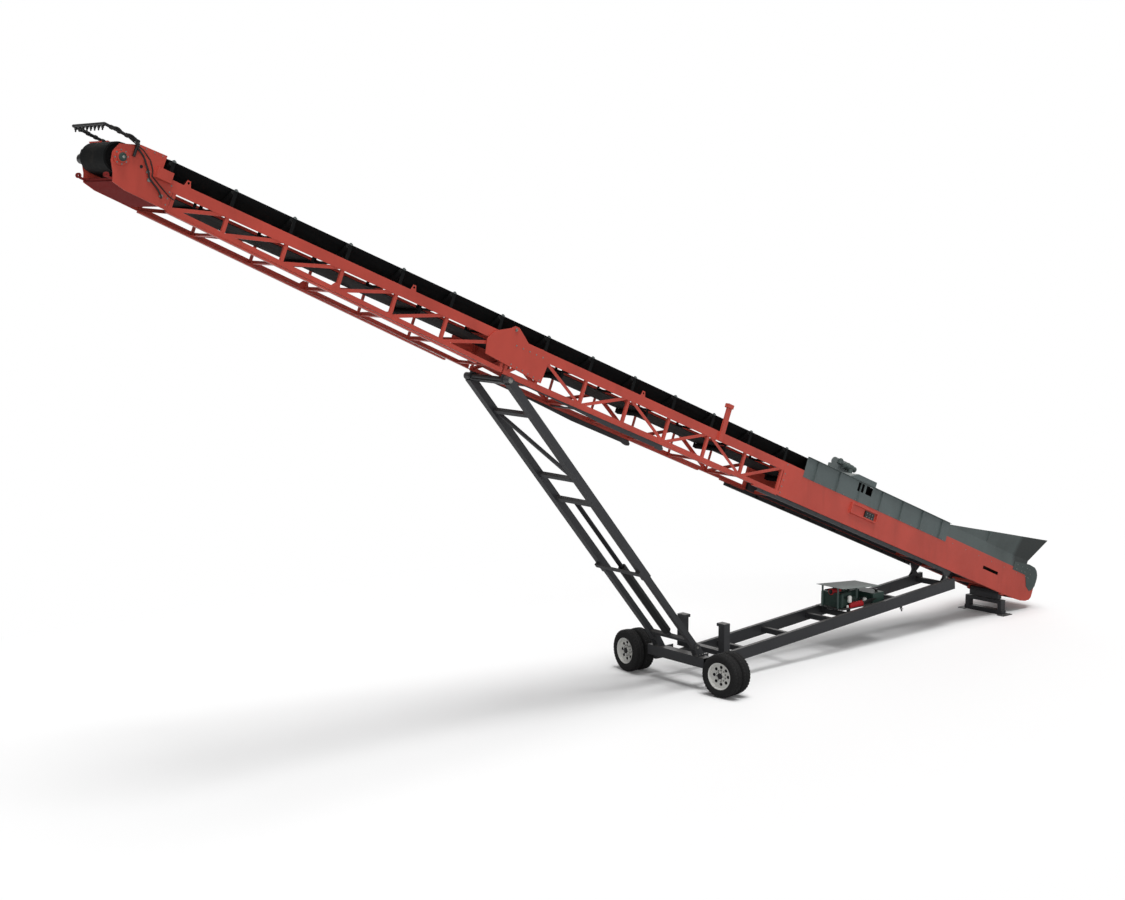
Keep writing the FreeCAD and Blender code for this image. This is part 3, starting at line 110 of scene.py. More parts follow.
# ---------------------------------------------------------------- mesh helpers
class Shape:
    """Mesh parts drawn in one frame, made into one piece."""

    def __init__(self, name, place=GROUND):
        self.name = name
        self.place = place
        self.bm = bmesh.new()

    def box(self, low, high, bevel=0.0):
        low, high = Vector(low), Vector(high)
        made = bmesh.ops.create_cube(self.bm, size=1.0)["verts"]
        spread = Matrix.Diagonal((*(high - low), 1.0))
        spot = Matrix.Translation((high + low) / 2)
        bmesh.ops.transform(self.bm, matrix=spot @ spread, verts=made)
        if bevel > 0:
            edges = list(dict.fromkeys(edge for vert in made for edge in vert.link_edges))
            bmesh.ops.bevel(self.bm, geom=edges, offset=bevel, segments=2, affect="EDGES")

    def side_box(self, side, low, high, bevel=0.0):
        """Box whose y is measured outward on one side."""
        near, far = sorted((side * low[1], side * high[1]))
        self.box((low[0], near, low[2]), (high[0], far, high[2]), bevel)

    def lathe(self, start, way, profile, segments=24, ring_only=False):
        """Turn (distance, radius) points about the line from start along way.

        The two ends are capped, unless ring_only closes the profile on itself around a hole.
        """
        start, way = Vector(start), Vector(way).normalized()
        across = way.orthogonal().normalized()
        other = way.cross(across)
        rings = []
        for along, radius in profile:
            middle = start + way * along
            rings.append([self.bm.verts.new(middle + across * a + other * b)
                          for a, b in around(segments, radius)])
        following = rings[1:] + rings[:1] if ring_only else rings[1:]
        for low, high in zip(rings, following):
            for i in range(segments):
                j = (i + 1) % segments
                self.bm.faces.new((low[i], low[j], high[j], high[i]))
        if not ring_only:
            self.bm.faces.new(list(reversed(rings[0])))
            self.bm.faces.new(rings[-1])

    def cylinder(self, start, end, radius, segments=24, edge=0.0):
        """Round bar; edge is the chamfer at both ends."""
        way = Vector(end) - Vector(start)
        length = way.length
        if edge > 0:
            profile = [(0, radius - edge), (edge, radius),
                       (length - edge, radius), (length, radius - edge)]
        else:
            profile = [(0, radius), (length, radius)]
        self.lathe(start, way, profile, segments)

    def bolt(self, spot, way, size):
        """Washer and hexagon head on a face; way points out of it."""
        washer, head = size * 0.18, size * 0.86
        self.lathe(spot, way, [(0, size * 1.15), (washer, size * 1.15)], 14)
        self.lathe(spot, way, [(washer, head), (size * 0.72, head), (size * 0.82, size * 0.74)], 6)

    def bolt_rows(self, rows):
        """Rows of bolts on both sides, each of (count, first place, step of s and n, size)."""
        for side in SIDES:
            for count, (s, y, n), (s_step, n_step), size in rows:
                for i in range(count):
                    spot = (s + s_step * i, side * y, n + n_step * i)
                    self.bolt(spot, (0, side, 0), size)

    def bolt_circle(self, centre, radius, count, size, phase=0.0):
        """Rings of bolts on both sides, on faces square to Y."""
        s, y, n = centre
        for side in SIDES:
            for a, b in around(count, radius, phase):
                self.bolt((s + a, side * y, n + b), (0, side, 0), size)

    def prism(self, outline, low, high):
        """Plate of an outline in the frame's X and Z, from one y to another."""
        bottom = [self.bm.verts.new((a, low, b)) for a, b in outline]
        top = [self.bm.verts.new((a, high, b)) for a, b in outline]
        self.bm.faces.new(bottom)
        self.bm.faces.new(list(reversed(top)))
        for i in range(len(outline)):
            j = (i + 1) % len(outline)
            self.bm.faces.new((bottom[j], bottom[i], top[i], top[j]))

    def done(self, body, slot, finish=None, smooth=40.0):
        """The piece, in the slot's own material unless a finish is given."""
        bmesh.ops.recalc_face_normals(self.bm, faces=self.bm.faces)
        bmesh.ops.transform(self.bm, matrix=self.place, verts=self.bm.verts)
        mesh = bpy.data.meshes.new(self.name)
        self.bm.to_mesh(mesh)
        self.bm.free()
        mesh.materials.append(finish or MAT[slot])
        smooth_by_angle(mesh, smooth)
        return add_piece(self.name, mesh, body)


def add_piece(name, data, body):
    piece = bpy.data.objects.new(name, data)
    bpy.context.scene.collection.objects.link(piece)
    if body:
        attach(piece, body)
    return piece


def smooth_by_angle(mesh, degrees):
    for polygon in mesh.polygons:
        polygon.use_smooth = True
    mesh.set_sharp_from_angle(angle=math.radians(degrees))


def hose(name, points, radius, body, place):
    """Fixed hose on one smooth line."""
    curve = bpy.data.curves.new(name, "CURVE")
    curve.dimensions = "3D"
    curve.bevel_depth = radius
    curve.bevel_resolution = 3
    curve.resolution_u = 10
    curve.use_fill_caps = True
    spline = curve.splines.new("NURBS")
    spline.points.add(len(points) - 1)
    for knot, point in zip(spline.points, points):
        knot.co = (*(place @ Vector(point)), 1.0)
    spline.order_u = 3
    spline.use_endpoint_u = True
    curve.materials.append(MAT["hose"])
    add_piece(name, curve, body)


def side_plates(name, outline, inner, outer, body, slot, sides=SIDES):
    """Plates of an (s, n) outline, between two distances from the middle of the conveyor."""
    shape = Shape(name, CONVEYOR)
    for side in sides:
        shape.prism(outline, side * inner, side * outer)
    shape.done(body, slot)


# ---------------------------------------------------------------- material nodes
def linear(r, g, b):
    """Display colour, 0 to 255 a channel, as scene colour."""
    def one(value):
        value = value / 255.0
        return value / 12.92 if value <= 0.04045 else ((value + 0.055) / 1.055) ** 2.4
    return (one(r), one(g), one(b), 1.0)


def shade(colour, factor):
    return tuple(min(1.0, c * factor) for c in colour[:3]) + (1.0,)


class Nodes:
    """Node material with a Principled shader and short calls for its nodes."""

    def __init__(self, name):
        self.material = bpy.data.materials.new(name)
        self.material.use_nodes = True
        self.tree = self.material.node_tree
        self.shader = self.tree.nodes["Principled BSDF"]
        self.coords = self.add("ShaderNodeTexCoord").outputs["Object"]

    def add(self, kind, **values):
        node = self.tree.nodes.new(kind)
        for key, value in values.items():
            setattr(node, key, value)
        return node

    def link(self, a, b):
        self.tree.links.new(a, b)

    def fill(self, sockets, values):
        """Set each socket to its value, or link it where the value is another node's socket."""
        for socket, value in zip(sockets, values):
            if isinstance(value, (int, float, tuple)):
                socket.default_value = value
            else:
                self.link(value, socket)

    def set(self, **values):
        """Set the shader's own sockets; an underscore stands for a space."""
        for key, value in values.items():
            self.shader.inputs[key.replace("_", " ")].default_value = value

    def noise(self, scale, detail, roughness=0.55, stretch=None):
        node = self.add("ShaderNodeTexNoise")
        node.inputs["Scale"].default_value = scale
        node.inputs["Detail"].default_value = detail
        node.inputs["Roughness"].default_value = roughness
        source = self.coords
        if stretch:
            mapping = self.add("ShaderNodeMapping")
            mapping.inputs["Scale"].default_value = stretch
            self.link(source, mapping.inputs["Vector"])
            source = mapping.outputs["Vector"]
        self.link(source, node.inputs["Vector"])
        return node.outputs["Fac"]

    def ramp(self, source, low, high, out_low=0.0, out_high=1.0):
        node = self.add("ShaderNodeMapRange")
        node.inputs["From Min"].default_value = low
        node.inputs["From Max"].default_value = high
        node.inputs["To Min"].default_value = out_low
        node.inputs["To Max"].default_value = out_high
        self.link(source, node.inputs["Value"])
        return node.outputs["Result"]

    def math(self, operation, *values):
        node = self.add("ShaderNodeMath", operation=operation)
        self.fill(node.inputs, values)
        return node.outputs["Value"]

    def mix(self, factor, a, b):
        """Colour a where factor is 0, and b where it is 1."""
        node = self.add("ShaderNodeMix", data_type="RGBA")
        self.link(factor, node.inputs["Factor"])
        self.fill((node.inputs[6], node.inputs[7]), (a, b))
        return node.outputs[2]

    def split(self, source):
        node = self.add("ShaderNodeSeparateXYZ")
        self.link(source, node.inputs[0])
        return node.outputs

    def up_facing(self):
        return self.split(self.add("ShaderNodeNewGeometry").outputs["Normal"])["Z"]

    def edges(self):
        """About 1 on sharp edges, 0 on flats."""
        bevel = self.add("ShaderNodeBevel", samples=4)
        bevel.inputs["Radius"].default_value = 0.006
        geometry = self.add("ShaderNodeNewGeometry")
        dot = self.add("ShaderNodeVectorMath", operation="DOT_PRODUCT")
        self.link(bevel.outputs["Normal"], dot.inputs[0])
        self.link(geometry.outputs["Normal"], dot.inputs[1])
        return self.ramp(dot.outputs["Value"], 0.995, 0.86)

    def bump(self, source, strength, distance):
        node = self.add("ShaderNodeBump")
        node.inputs["Strength"].default_value = strength
        node.inputs["Distance"].default_value = distance
        self.link(source, node.inputs["Height"])
        self.link(node.outputs["Normal"], self.shader.inputs["Normal"])

    def colour(self, source):
        self.link(source, self.shader.inputs["Base Color"])

    def rough(self, source):
        self.link(source, self.shader.inputs["Roughness"])


# ---------------------------------------------------------------- materials
DUST = linear(150, 138, 122)
BARE_STEEL = linear(120, 116, 110)
# Dark grey that paints the shade on the hopper's outward-leaning wing.
PAINTED_WING_SHADE = linear(44, 48, 47)


def paint(name, colour, gloss, wear, dust, coat=0.12, painted_shade_x=None):
    """Sprayed machine paint: mottling, runs of grime, dust on upper faces and worn edges.

    The last argument gives the two x between which the paint turns dark as painted shade; without a
    coat the paint is matt.
    """
    m = Nodes(name)
    broad = m.ramp(m.noise(0.9, 3.0), 0.35, 0.65)
    fine = m.noise(28.0, 6.0, 0.6)
    runs = m.ramp(m.noise(3.0, 5.0, 0.6, (1.0, 1.0, 0.16)), 0.52, 0.78, 0.0, 0.32)
    base = m.mix(broad, shade(colour, 0.90), shade(colour, 1.08))
    base = m.mix(runs, base, shade(colour, 0.55))
    patches = m.ramp(fine, 0.40, 0.68, 0.25, 1.0)
    settled = m.math("MULTIPLY", m.ramp(m.up_facing(), 0.25, 0.95), patches)
    base = m.mix(m.math("MULTIPLY", settled, dust), base, DUST)
    rubbed = m.ramp(m.noise(9.0, 5.0, 0.7), 0.50, 0.62, 0.0, wear)
    base = m.mix(m.math("MULTIPLY", m.edges(), rubbed), base, BARE_STEEL)
    # Painted shade: between the two x the paint turns dark grey, where the wing leans out into
    # shade.
    if painted_shade_x:
        ragged = m.math("ADD", m.split(m.coords)["X"], m.ramp(fine, 0.3, 0.7, -0.03, 0.03))
        base = m.mix(m.ramp(ragged, *painted_shade_x, 0.0, 0.80), base, PAINTED_WING_SHADE)
    m.colour(base)
    m.rough(m.ramp(fine, 0.3, 0.7, gloss - 0.06, gloss + 0.14))
    m.bump(m.noise(160.0, 2.0), 0.05, 0.001)
    m.set(Coat_Weight=coat, Coat_Roughness=0.25, Specular_IOR_Level=0.4 if coat else 0.15)
    return m.material


def rubber(name, colour, gloss, dust):
    m = Nodes(name)
    fine = m.noise(40.0, 6.0, 0.65)
    broad = m.ramp(m.noise(2.2, 4.0), 0.35, 0.65)
    base = m.mix(broad, shade(colour, 0.8), shade(colour, 1.25))
    m.colour(m.mix(m.ramp(fine, 0.52, 0.80, 0.0, dust), base, DUST))
    m.rough(m.ramp(fine, 0.3, 0.7, gloss - 0.08, gloss + 0.2))
    m.bump(m.noise(220.0, 3.0), 0.12, 0.002)
    return m.material


def belt_rubber(name, colour):
    """Conveyor belt: streaks along its run and a dusty strip down its middle."""
    m = Nodes(name)
    streaks = m.noise(2.0, 6.0, 0.65, (0.35, 9.0, 0.35))
    base = m.mix(m.ramp(streaks, 0.38, 0.66), shade(colour, 0.75), shade(colour, 1.45))
    middle = m.ramp(m.math("ABSOLUTE", m.split(m.coords)["Y"]), 0.30, 0.02)
    patches = m.ramp(m.noise(11.0, 6.0, 0.7), 0.42, 0.70, 0.0, 0.07)
    m.colour(m.mix(m.math("MULTIPLY", middle, patches), base, DUST))
    m.rough(m.ramp(streaks, 0.3, 0.7, 0.66, 0.88))
    m.bump(m.noise(120.0, 3.0), 0.15, 0.002)
    m.set(Specular_IOR_Level=0.18)
    return m.material


def steel(name, colour, gloss):
    m = Nodes(name)
    brushed = m.noise(6.0, 4.0, 0.6, (1.0, 1.0, 30.0))
    m.colour(m.mix(m.ramp(brushed, 0.35, 0.65), shade(colour, 0.82), shade(colour, 1.12)))
    m.rough(m.ramp(brushed, 0.3, 0.7, gloss - 0.08, gloss + 0.12))
    m.bump(m.noise(90.0, 2.0), 0.04, 0.001)
    m.set(Metallic=1.0)
    return m.material


# One material for each slot. Paint is (name, colour, gloss, wear, dust, coat).
MAT = {
    "red": paint("paint_red", linear(202, 78, 64), 0.40, 0.5, 0.22),
    "bluegrey": paint("paint_bluegrey", linear(96, 107, 107), 0.48, 0.5, 0.25),
    "darkgrey": paint("paint_darkgrey", linear(55, 56, 59), 0.44, 0.5, 0.18),
    "midgrey": paint("paint_midgrey", linear(104, 112, 112), 0.46, 0.5, 0.25),
    "black": paint("paint_black", linear(22, 22, 24), 0.38, 0.4, 0.10),
    "green": paint("paint_greygreen", linear(44, 66, 60), 0.46, 0.4, 0.15),
    "white": paint("paint_white", linear(222, 222, 218), 0.36, 0.3, 0.15),
    "roller": paint("paint_roller", linear(19, 20, 21), 0.70, 0.25, 0.03, 0.0),
    "belt": belt_rubber("belt_rubber", linear(17, 19, 20)),
    "tyre": rubber("tyre_rubber", linear(17, 17, 18), 0.72, 0.05),
    "steel": steel("zinc", linear(158, 158, 154), 0.40),
    "hose": rubber("hose_rubber", linear(20, 20, 21), 0.50, 0.10),
}
OILED_ROD = steel("oiled_rod", linear(58, 58, 60), 0.34)
CLEAR_RED = paint("paint_signal_red", linear(178, 24, 34), 0.34, 0.3, 0.10)
# Darker, rougher copy of the red paint for the tray, nose and eyes under the head: painted shade.
SHADED_RED = paint("paint_red_shaded", linear(138, 44, 42), 0.80, 0.6, 0.15, 0.0)
COVER_GREY = paint("paint_cover_grey", linear(74, 86, 84), 0.48, 0.4, 0.20)
ROOF_GREY = paint("paint_roof_grey", linear(84, 100, 97), 0.48, 0.4, 0.20)
# The hopper's wing beyond x -0.30 is darkened as painted shade.
HOPPER_GREY = paint("paint_hopper", linear(94, 104, 103), 0.50, 0.5, 0.20, painted_shade_x=(-0.30, -0.44))
NODE_FINISH = {
    "feed_hopper": HOPPER_GREY,
    "ram_rod": OILED_ROD,
    # The parts under the head take the darker red: painted shade.
    "head_tray": SHADED_RED,
    "head_nose": SHADED_RED,
    "tail_cover": COVER_GREY,
    "power_pack_roof": ROOF_GREY,
    "spray_hoop": MAT["black"],
}


def paint_nodes():
    """Give every CAD node its own finish, or the material of its slot."""
    slots = {part["node"]: part["material_slot"] for part in frame["record"]["subparts"]}
    for name, node in frame["nodes"].items():
        node.data.materials.clear()
        node.data.materials.append(NODE_FINISH.get(name, MAT[slots[name]]))
        smooth_by_angle(node.data, 32.0)


# ---------------------------------------------------------------- wheels
TYRE_WIDTH = 0.218
TYRE_RADIUS = 0.4245
TREAD_STEPS = 156            # around the tyre
TREAD_PITCH = 0.0045         # across the tread
GROOVES = (0.052, 0.084, 0.134, 0.166)
GROOVE_DEPTH = 0.011
# Bead, sidewall rings and shoulder, as (distance from the side, radius).
SIDEWALL = ((0.024, 0.2515), (0.010, 0.272), (0.0035, 0.300), (0.001, 0.330), (0.0045, 0.334),
            (0.0045, 0.338), (0.001, 0.342), (0.004, 0.366), (0.008, 0.384), (0.016, 0.404))


def tyre_profile():
    """Section of a tyre with grooves round the tread, as (x, radius) from bead to bead."""
    tread = []
    half = TYRE_WIDTH / 2
    x = 0.028
    while x < TYRE_WIDTH - 0.027:
        crown = 0.010 * ((x - half) / half) ** 2
        groove = GROOVE_DEPTH if any(abs(x - g) < 0.0048 for g in GROOVES) else 0.0
        tread.append((x, TYRE_RADIUS - crown - groove))
        x += TREAD_PITCH
    far = [(TYRE_WIDTH - x, radius) for x, radius in reversed(SIDEWALL)]
    return [*SIDEWALL, *tread, *far]


def tread_cut(step, x, radius):
    """Depth of the notches across the tread: open shoulder blocks and narrow sipes."""
    edge = min(x, TYRE_WIDTH - x)
    if 0.012 < edge < 0.050 and step % 4 == 0:
        return 0.011
    if 0.060 < edge and radius > 0.405 and (step + int(x * 60)) % 6 == 0:
        return 0.005
    return 0.0


def tyre(name, side, start):
    """One tyre of a twin pair; start is its inner side along the axle."""
    shape = Shape(name, wheel_place(side))
    profile = tyre_profile()
    rings = []
    for step, (c, s) in enumerate(around(TREAD_STEPS, 1.0)):
        ring = []
        for x, radius in profile:
            radius -= tread_cut(step, x, radius)
            ring.append(shape.bm.verts.new((start + x, radius * c, radius * s)))
        rings.append(ring)
    for a, b in zip(rings, rings[1:] + rings[:1]):
        for j in range(len(profile) - 1):
            shape.bm.faces.new((a[j], a[j + 1], b[j + 1], b[j]))
        shape.bm.faces.new((a[-1], a[0], b[0], b[-1]))
    return shape.done("wheel_" + WORDS[side], "tyre", smooth=35)


def wheel(side):
    word = WORDS[side]
    body = "wheel_" + word
    place = wheel_place(side)
    inner = tyre("tyre_inner_" + word, side, -0.238)
    outer = tyre("tyre_outer_" + word, side, 0.020)
    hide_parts("tyres_" + word)
    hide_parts("tyres_" + word)

    nuts = Shape("wheel_nuts_" + word, place)
    for y, z in around(10, 0.108, 0.5):
        nuts.bolt((0.162, y, z), AHEAD, 0.015)
    nuts.done(body, "steel")

    hub = Shape("hub_cap_" + word, place)
    hub.lathe((0.198, 0, 0), AHEAD, [(0, 0.060), (0.008, 0.060), (0.018, 0.052),
                                     (0.026, 0.030), (0.028, 0.004)], 32)
    for y, z in around(6, 0.076):
        hub.bolt((0.1985, y, z), AHEAD, 0.009)
    hub.done(body, "black")

    # Black disc behind the hand holes of the rim, and a black lining in each hole: painted shade
    # for the dark inside of the wheel seen through the holes.
    hole_shade = Shape("rim_hole_shade_" + word, place)
    hole_shade.lathe((0.118, 0, 0), AHEAD, [(0, 0.10), (0, 0.205), (0.006, 0.205), (0.006, 0.10)],
                  48, ring_only=True)
    for y, z in around(8, 0.165):
        hole_shade.lathe((0.124, y, z), AHEAD, [(0, 0.0318), (0.0385, 0.0318), (0.040, 0.030),
                                             (0.0385, 0.028), (0.004, 0.028)], 20, ring_only=True)
    hole_shade.done(body, "black")

    flange = Shape("rim_flanges_" + word, place)
    for way in SIDES:
        flange.lathe((way * 0.218, 0, 0), (way, 0, 0),
                     [(0, 0.2385), (0, 0.250), (0.010, 0.262), (0.014, 0.262),
                      (0.014, 0.254), (0.006, 0.242), (0.002, 0.2385)], 72, ring_only=True)
    flange.done(body, "white")


# ---------------------------------------------------------------- belt over the fold
def belt_bridge():
    """Wings of the belt carried across the fold hinge."""
    reach, steps = 0.70, 36
    section = ((0.138, 0.1492), (0.38, 0.340), (0.38, 0.352), (0.138, 0.1622))
    shape = Shape("belt_fold_bridge", CONVEYOR)
    for side in SIDES:
        rows = []
        for i in range(steps + 1):
            s = S_FOLD - reach + 2 * reach * i / steps
            rows.append([shape.bm.verts.new((s, side * y, n)) for y, n in section])
        for a, b in zip(rows, rows[1:]):
            for j in range(4):
                k = (j + 1) % 4
                shape.bm.faces.new((a[j], a[k], b[k], b[j]))
        shape.bm.faces.new(rows[0])
        shape.bm.faces.new(list(reversed(rows[-1])))
    piece = shape.done(None, "belt")
    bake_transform(piece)


# ---------------------------------------------------------------- bolts and pins
def bolts():
    main = Shape("bolts_main", CONVEYOR)
    main.bolt_rows([
        (6, (15.72, FOLD_FACE, -0.46), (0.14, 0.012), 0.013),     # fold plates
        (5, (15.78, FOLD_FACE, -0.06), (0.16, 0), 0.013),
        (1, (S_FOLD, 0.517, N_FOLD), (0, 0), 0.026),
        (7, (-0.10, HALF_W, -0.035), (0.52, 0), 0.010),           # foot of the hopper
        (13, (3.42, SKIRT_FACE, -0.045), (0.40, 0), 0.010),       # foot of the skirts
        (4, (8.90, HALF_W, -0.55), (0, 0.13), 0.013),             # splice of side plate and truss
        (1, (8.90, HALF_W, 0.03), (0, 0), 0.013),
        (2, (0.25, BEARING_FACE, 0.05), (0.20, 0), 0.011),        # tail bearing plates
        (2, (0.25, BEARING_FACE, 0.15), (0.20, 0), 0.011),
        (5, (14.6, 0.46, -0.625), (0.40, 0), 0.010),              # leg pivot covers
    ])
    main.bolt_circle((0.0, BEARING_FACE, N_DRUM), 0.11, 6, 0.012)
    main.done("main_conveyor", "steel")

    head = Shape("bolts_head", CONVEYOR)
    head.bolt_circle((S_HEAD, HEAD_FACE, N_DRUM), 0.102, 8, 0.012, phase=0.5)
    head.bolt_rows([
        (4, (23.50, HALF_W, -0.32), (0, 0.10), 0.011),
        (4, (23.78, HALF_W, 0.335), (0.14, -0.003), 0.010),
    ])
    head.done("head_section", "steel")

    ground = Shape("bolts_undercarriage")
    ground.bolt_rows([
        (3, (9.58, 0.5045, 0.475), (0.08, 0), 0.013),             # rail to axle beam
        (1, (LUFF_X, 0.474, LUFF_Z), (0, 0), 0.022),              # luff pin
        (2, (9.86, 0.644, 0.69), (0.07, 0), 0.012),               # leg bracket and its pin
        (1, (LEG_FOOT.x, 0.644, LEG_FOOT.z), (0, 0), 0.022),
    ])
    for side in SIDES:
        for x, y, z, size in ((2.0, 0.435, 1.0895, 0.011), (2.22, 0.435, 1.0725, 0.011),
                              (9.16, 0.30, 0.6395, 0.013), (9.24, 0.30, 0.6395, 0.013)):
            ground.bolt((x, side * y, z), UP, size)
    ground.done("undercarriage", "steel")

    drop = Shape("rail_drop_bracket")
    drop.box((3.58, 0.448, 0.66), (3.66, 0.456, 0.76), 0.002)
    drop.box((3.58, 0.448, 0.645), (3.66, 0.486, 0.655), 0.002)
    drop.lathe((3.62, 0.470, 0.655), (0, 0, -1), [(0, 0.012), (0.03, 0.012), (0.034, 0.018),
                                                  (0.05, 0.018), (0.054, 0.010)], 14)
    drop.done("undercarriage", "darkgrey")

    stand = Shape("bolts_tail_stand")
    for x in (-0.13, 0.13):
        for side in SIDES:
            stand.bolt((x, side * 0.59, 0.014), UP, 0.018)
    stand.done("tail_stand", "steel")

    pins = Shape("leg_pin_caps", LEG)
    for side in SIDES:
        pins.lathe((LEG_LENGTH, side * 0.630, 0), (0, side, 0),
                   [(0, 0.050), (0.006, 0.050), (0.010, 0.034), (0.022, 0.034), (0.026, 0.028)], 24)
    pins.done("leg_outer", "steel")


def head_bearing():
    """Cap of the drum's bearing on the left; the motor is on the right."""
    cap = Shape("head_bearings", CONVEYOR)
    cap.lathe((S_HEAD, 0.542, N_DRUM), LEFT, [(0, 0.064), (0.010, 0.064), (0.014, 0.0525),
                                              (0.030, 0.0515), (0.034, 0.040)], 40)
    cap.done("head_section", "green")
    centre = Shape("head_bearing_centre", CONVEYOR)
    centre.lathe((S_HEAD, 0.576, N_DRUM), LEFT, [(0, 0.022), (0.006, 0.022), (0.010, 0.012),
                                                 (0.020, 0.010), (0.022, 0.004)], 20)
    centre.done("head_section", "steel")


# ---------------------------------------------------------------- power pack
CLEANER_SPOT = (5.12, 0.0, 1.205)
CLEANER_END = 5.398
VALVE_FIRST, VALVE_STEP, VALVE_COUNT = 4.79, 0.080, 5
VALVE_Y = 0.321


def engine():
    casing = Shape("engine_casing", PACK)
    for low, high, bevel in (((4.86, -0.26, 0.02), (5.30, 0.26, 0.20), 0.02),
                             ((4.90, -0.20, 0.18), (5.28, 0.16, 0.29), 0.018),
                             ((4.93, -0.13, 0.285), (5.25, 0.07, 0.318), 0.012),
                             ((5.31, -0.285, 0.01), (5.395, 0.285, 0.315), 0.010)):
        casing.box(low, high, bevel)
    for i in range(4):
        x = 4.93 + 0.085 * i
        casing.box((x, -0.285, 0.20), (x + 0.045, -0.20, 0.25), 0.008)
    casing.cylinder((4.86, 0, 0.10), (4.80, 0, 0.10), 0.085, 28, 0.006)
    piece = casing.done("undercarriage", "green")
    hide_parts("engine_block")

    fins = Shape("radiator_fins", PACK)
    for i in range(26):
        y = -0.26 + 0.02 * i
        fins.box((5.3952, y, 0.04), (5.3998, y + 0.010, 0.29))
    fins.done("undercarriage", "green")

    filters = Shape("pack_filters")
    for x, y, z, radius, tall in ((5.153, 0.305, 0.985, 0.047, 0.15),
                                  (4.60, 0.25, 0.885, 0.050, 0.125),
                                  (5.235, 0.325, 0.885, 0.024, 0.06),
                                  (4.244, 0.30, 0.874, 0.022, 0.03)):
        filters.lathe((x, y, z), UP, [(0, radius * 0.64), (0.010, radius), (tall - 0.022, radius),
                                      (tall - 0.010, radius * 0.82), (tall, radius * 0.44)], 24)
    filters.done("undercarriage", "white")

    cleaner = Shape("pack_air_cleaner")
    cleaner.lathe(CLEANER_SPOT, AHEAD, [(0, 0.045), (0.02, 0.062), (0.24, 0.062), (0.245, 0.072),
                                        (0.285, 0.072), (0.292, 0.058), (0.280, 0.052),
                                        (0.280, 0.010)], 32)
    cleaner.done("undercarriage", "red", CLEAR_RED)
    end = Shape("pack_air_cleaner_end")
    end.lathe((CLEANER_END, *CLEANER_SPOT[1:]), AHEAD,
              [(0, 0.050), (0.014, 0.050), (0.020, 0.040), (0.022, 0.006)], 28)
    end.done("undercarriage", "black")


def hydraulics():
    stations = [VALVE_FIRST + VALVE_STEP * i for i in range(VALVE_COUNT)]
    valves = Shape("pack_valves", PACK)
    valves.box((4.74, 0.292, 0.002), (5.17, 0.350, 0.080), 0.008)
    for x in stations:
        valves.cylinder((x, VALVE_Y, 0.078), (x, VALVE_Y, 0.118), 0.020, 16, 0.004)
    valves.box((4.76, 0.300, 0.080), (5.15, 0.342, 0.098), 0.005)
    valves.done("undercarriage", "red", CLEAR_RED)

    levers = Shape("pack_levers", PACK)
    for x in stations:
        levers.cylinder((x, VALVE_Y, 0.116), (x, 0.338, 0.170), 0.006, 10)
        levers.lathe((x, 0.337, 0.166), (0, 0.012, 0.030),
                     [(0, 0.006), (0.006, 0.012), (0.016, 0.012), (0.022, 0.005)], 12)
    levers.done("undercarriage", "black")

    exhaust = Shape("pack_exhaust", PACK)
    exhaust.lathe((4.93, -0.30, 0.27), AHEAD,
                  [(0, 0.020), (0.01, 0.045), (0.30, 0.045), (0.32, 0.020)], 24)
    exhaust.done("undercarriage", "roller")

    caps = Shape("tank_caps", PACK)
    for spot, neck, rim in (((4.16, 0.20, 0.2105), 0.030, 0.040),
                            ((4.70, -0.12, 0.2605), 0.026, 0.034)):
        caps.lathe(spot, UP, [(0, neck), (0.02, neck), (0.022, rim), (0.045, rim),
                              (0.05, rim - 0.006)], 24)
    caps.done("undercarriage", "black")

    for i in range(4):
        x = 4.46 - 0.05 * i
        hose("pack_hose_%d" % i,
             [(4.76, 0.335 - 0.01 * i, 0.03 + 0.015 * i), (4.70, 0.34, 0.035 + 0.016 * i),
              (4.64 - 0.02 * i, 0.345, 0.05 + 0.02 * i), (x, 0.34, 0.045 + 0.02 * i),
              (x - 0.05, 0.30, 0.035), (x - 0.06, 0.18, 0.030), (x - 0.06, 0.0, 0.012)],
             0.009, "undercarriage", PACK)


# ---------------------------------------------------------------- conveyor dressing
SHOE_T = 0.0255
SHOE_INNER, SHOE_OUTER = 0.412, 0.4795
IDLERS_HEAD = range(7)
IDLERS_MAIN = (*range(7, 14), 19, 20)        # the others are behind the skirts
BELLY_START, BELLY_END = 3.08, 9.55


def idler_caps(name, idlers, body):
    """Bracket tops at the belt's edges, with the ends of the rollers."""
    shape = Shape(name, CONVEYOR)
    for number in idlers:
        s = IDLER_FIRST - IDLER_PITCH * number
        for side in SIDES:
            shape.side_box(side, (s - 0.034, 0.452, 0.322), (s + 0.034, 0.4745, 0.350), 0.006)
            shape.cylinder((s, side * 0.425, 0.348), (s, side * 0.468, 0.348), 0.015, 16, 0.004)
    shape.done(body, "midgrey")


def chord_shoe(name, start, end, body):
    """Flat bar under a bottom chord; start and end are the (s, n) of its upper face."""
    (s0, n0), (s1, n1) = start, end
    outline = [start, end, (s1, n1 - SHOE_T), (s0, n0 - SHOE_T)]
    side_plates(name, outline, SHOE_INNER, SHOE_OUTER, body, "red")


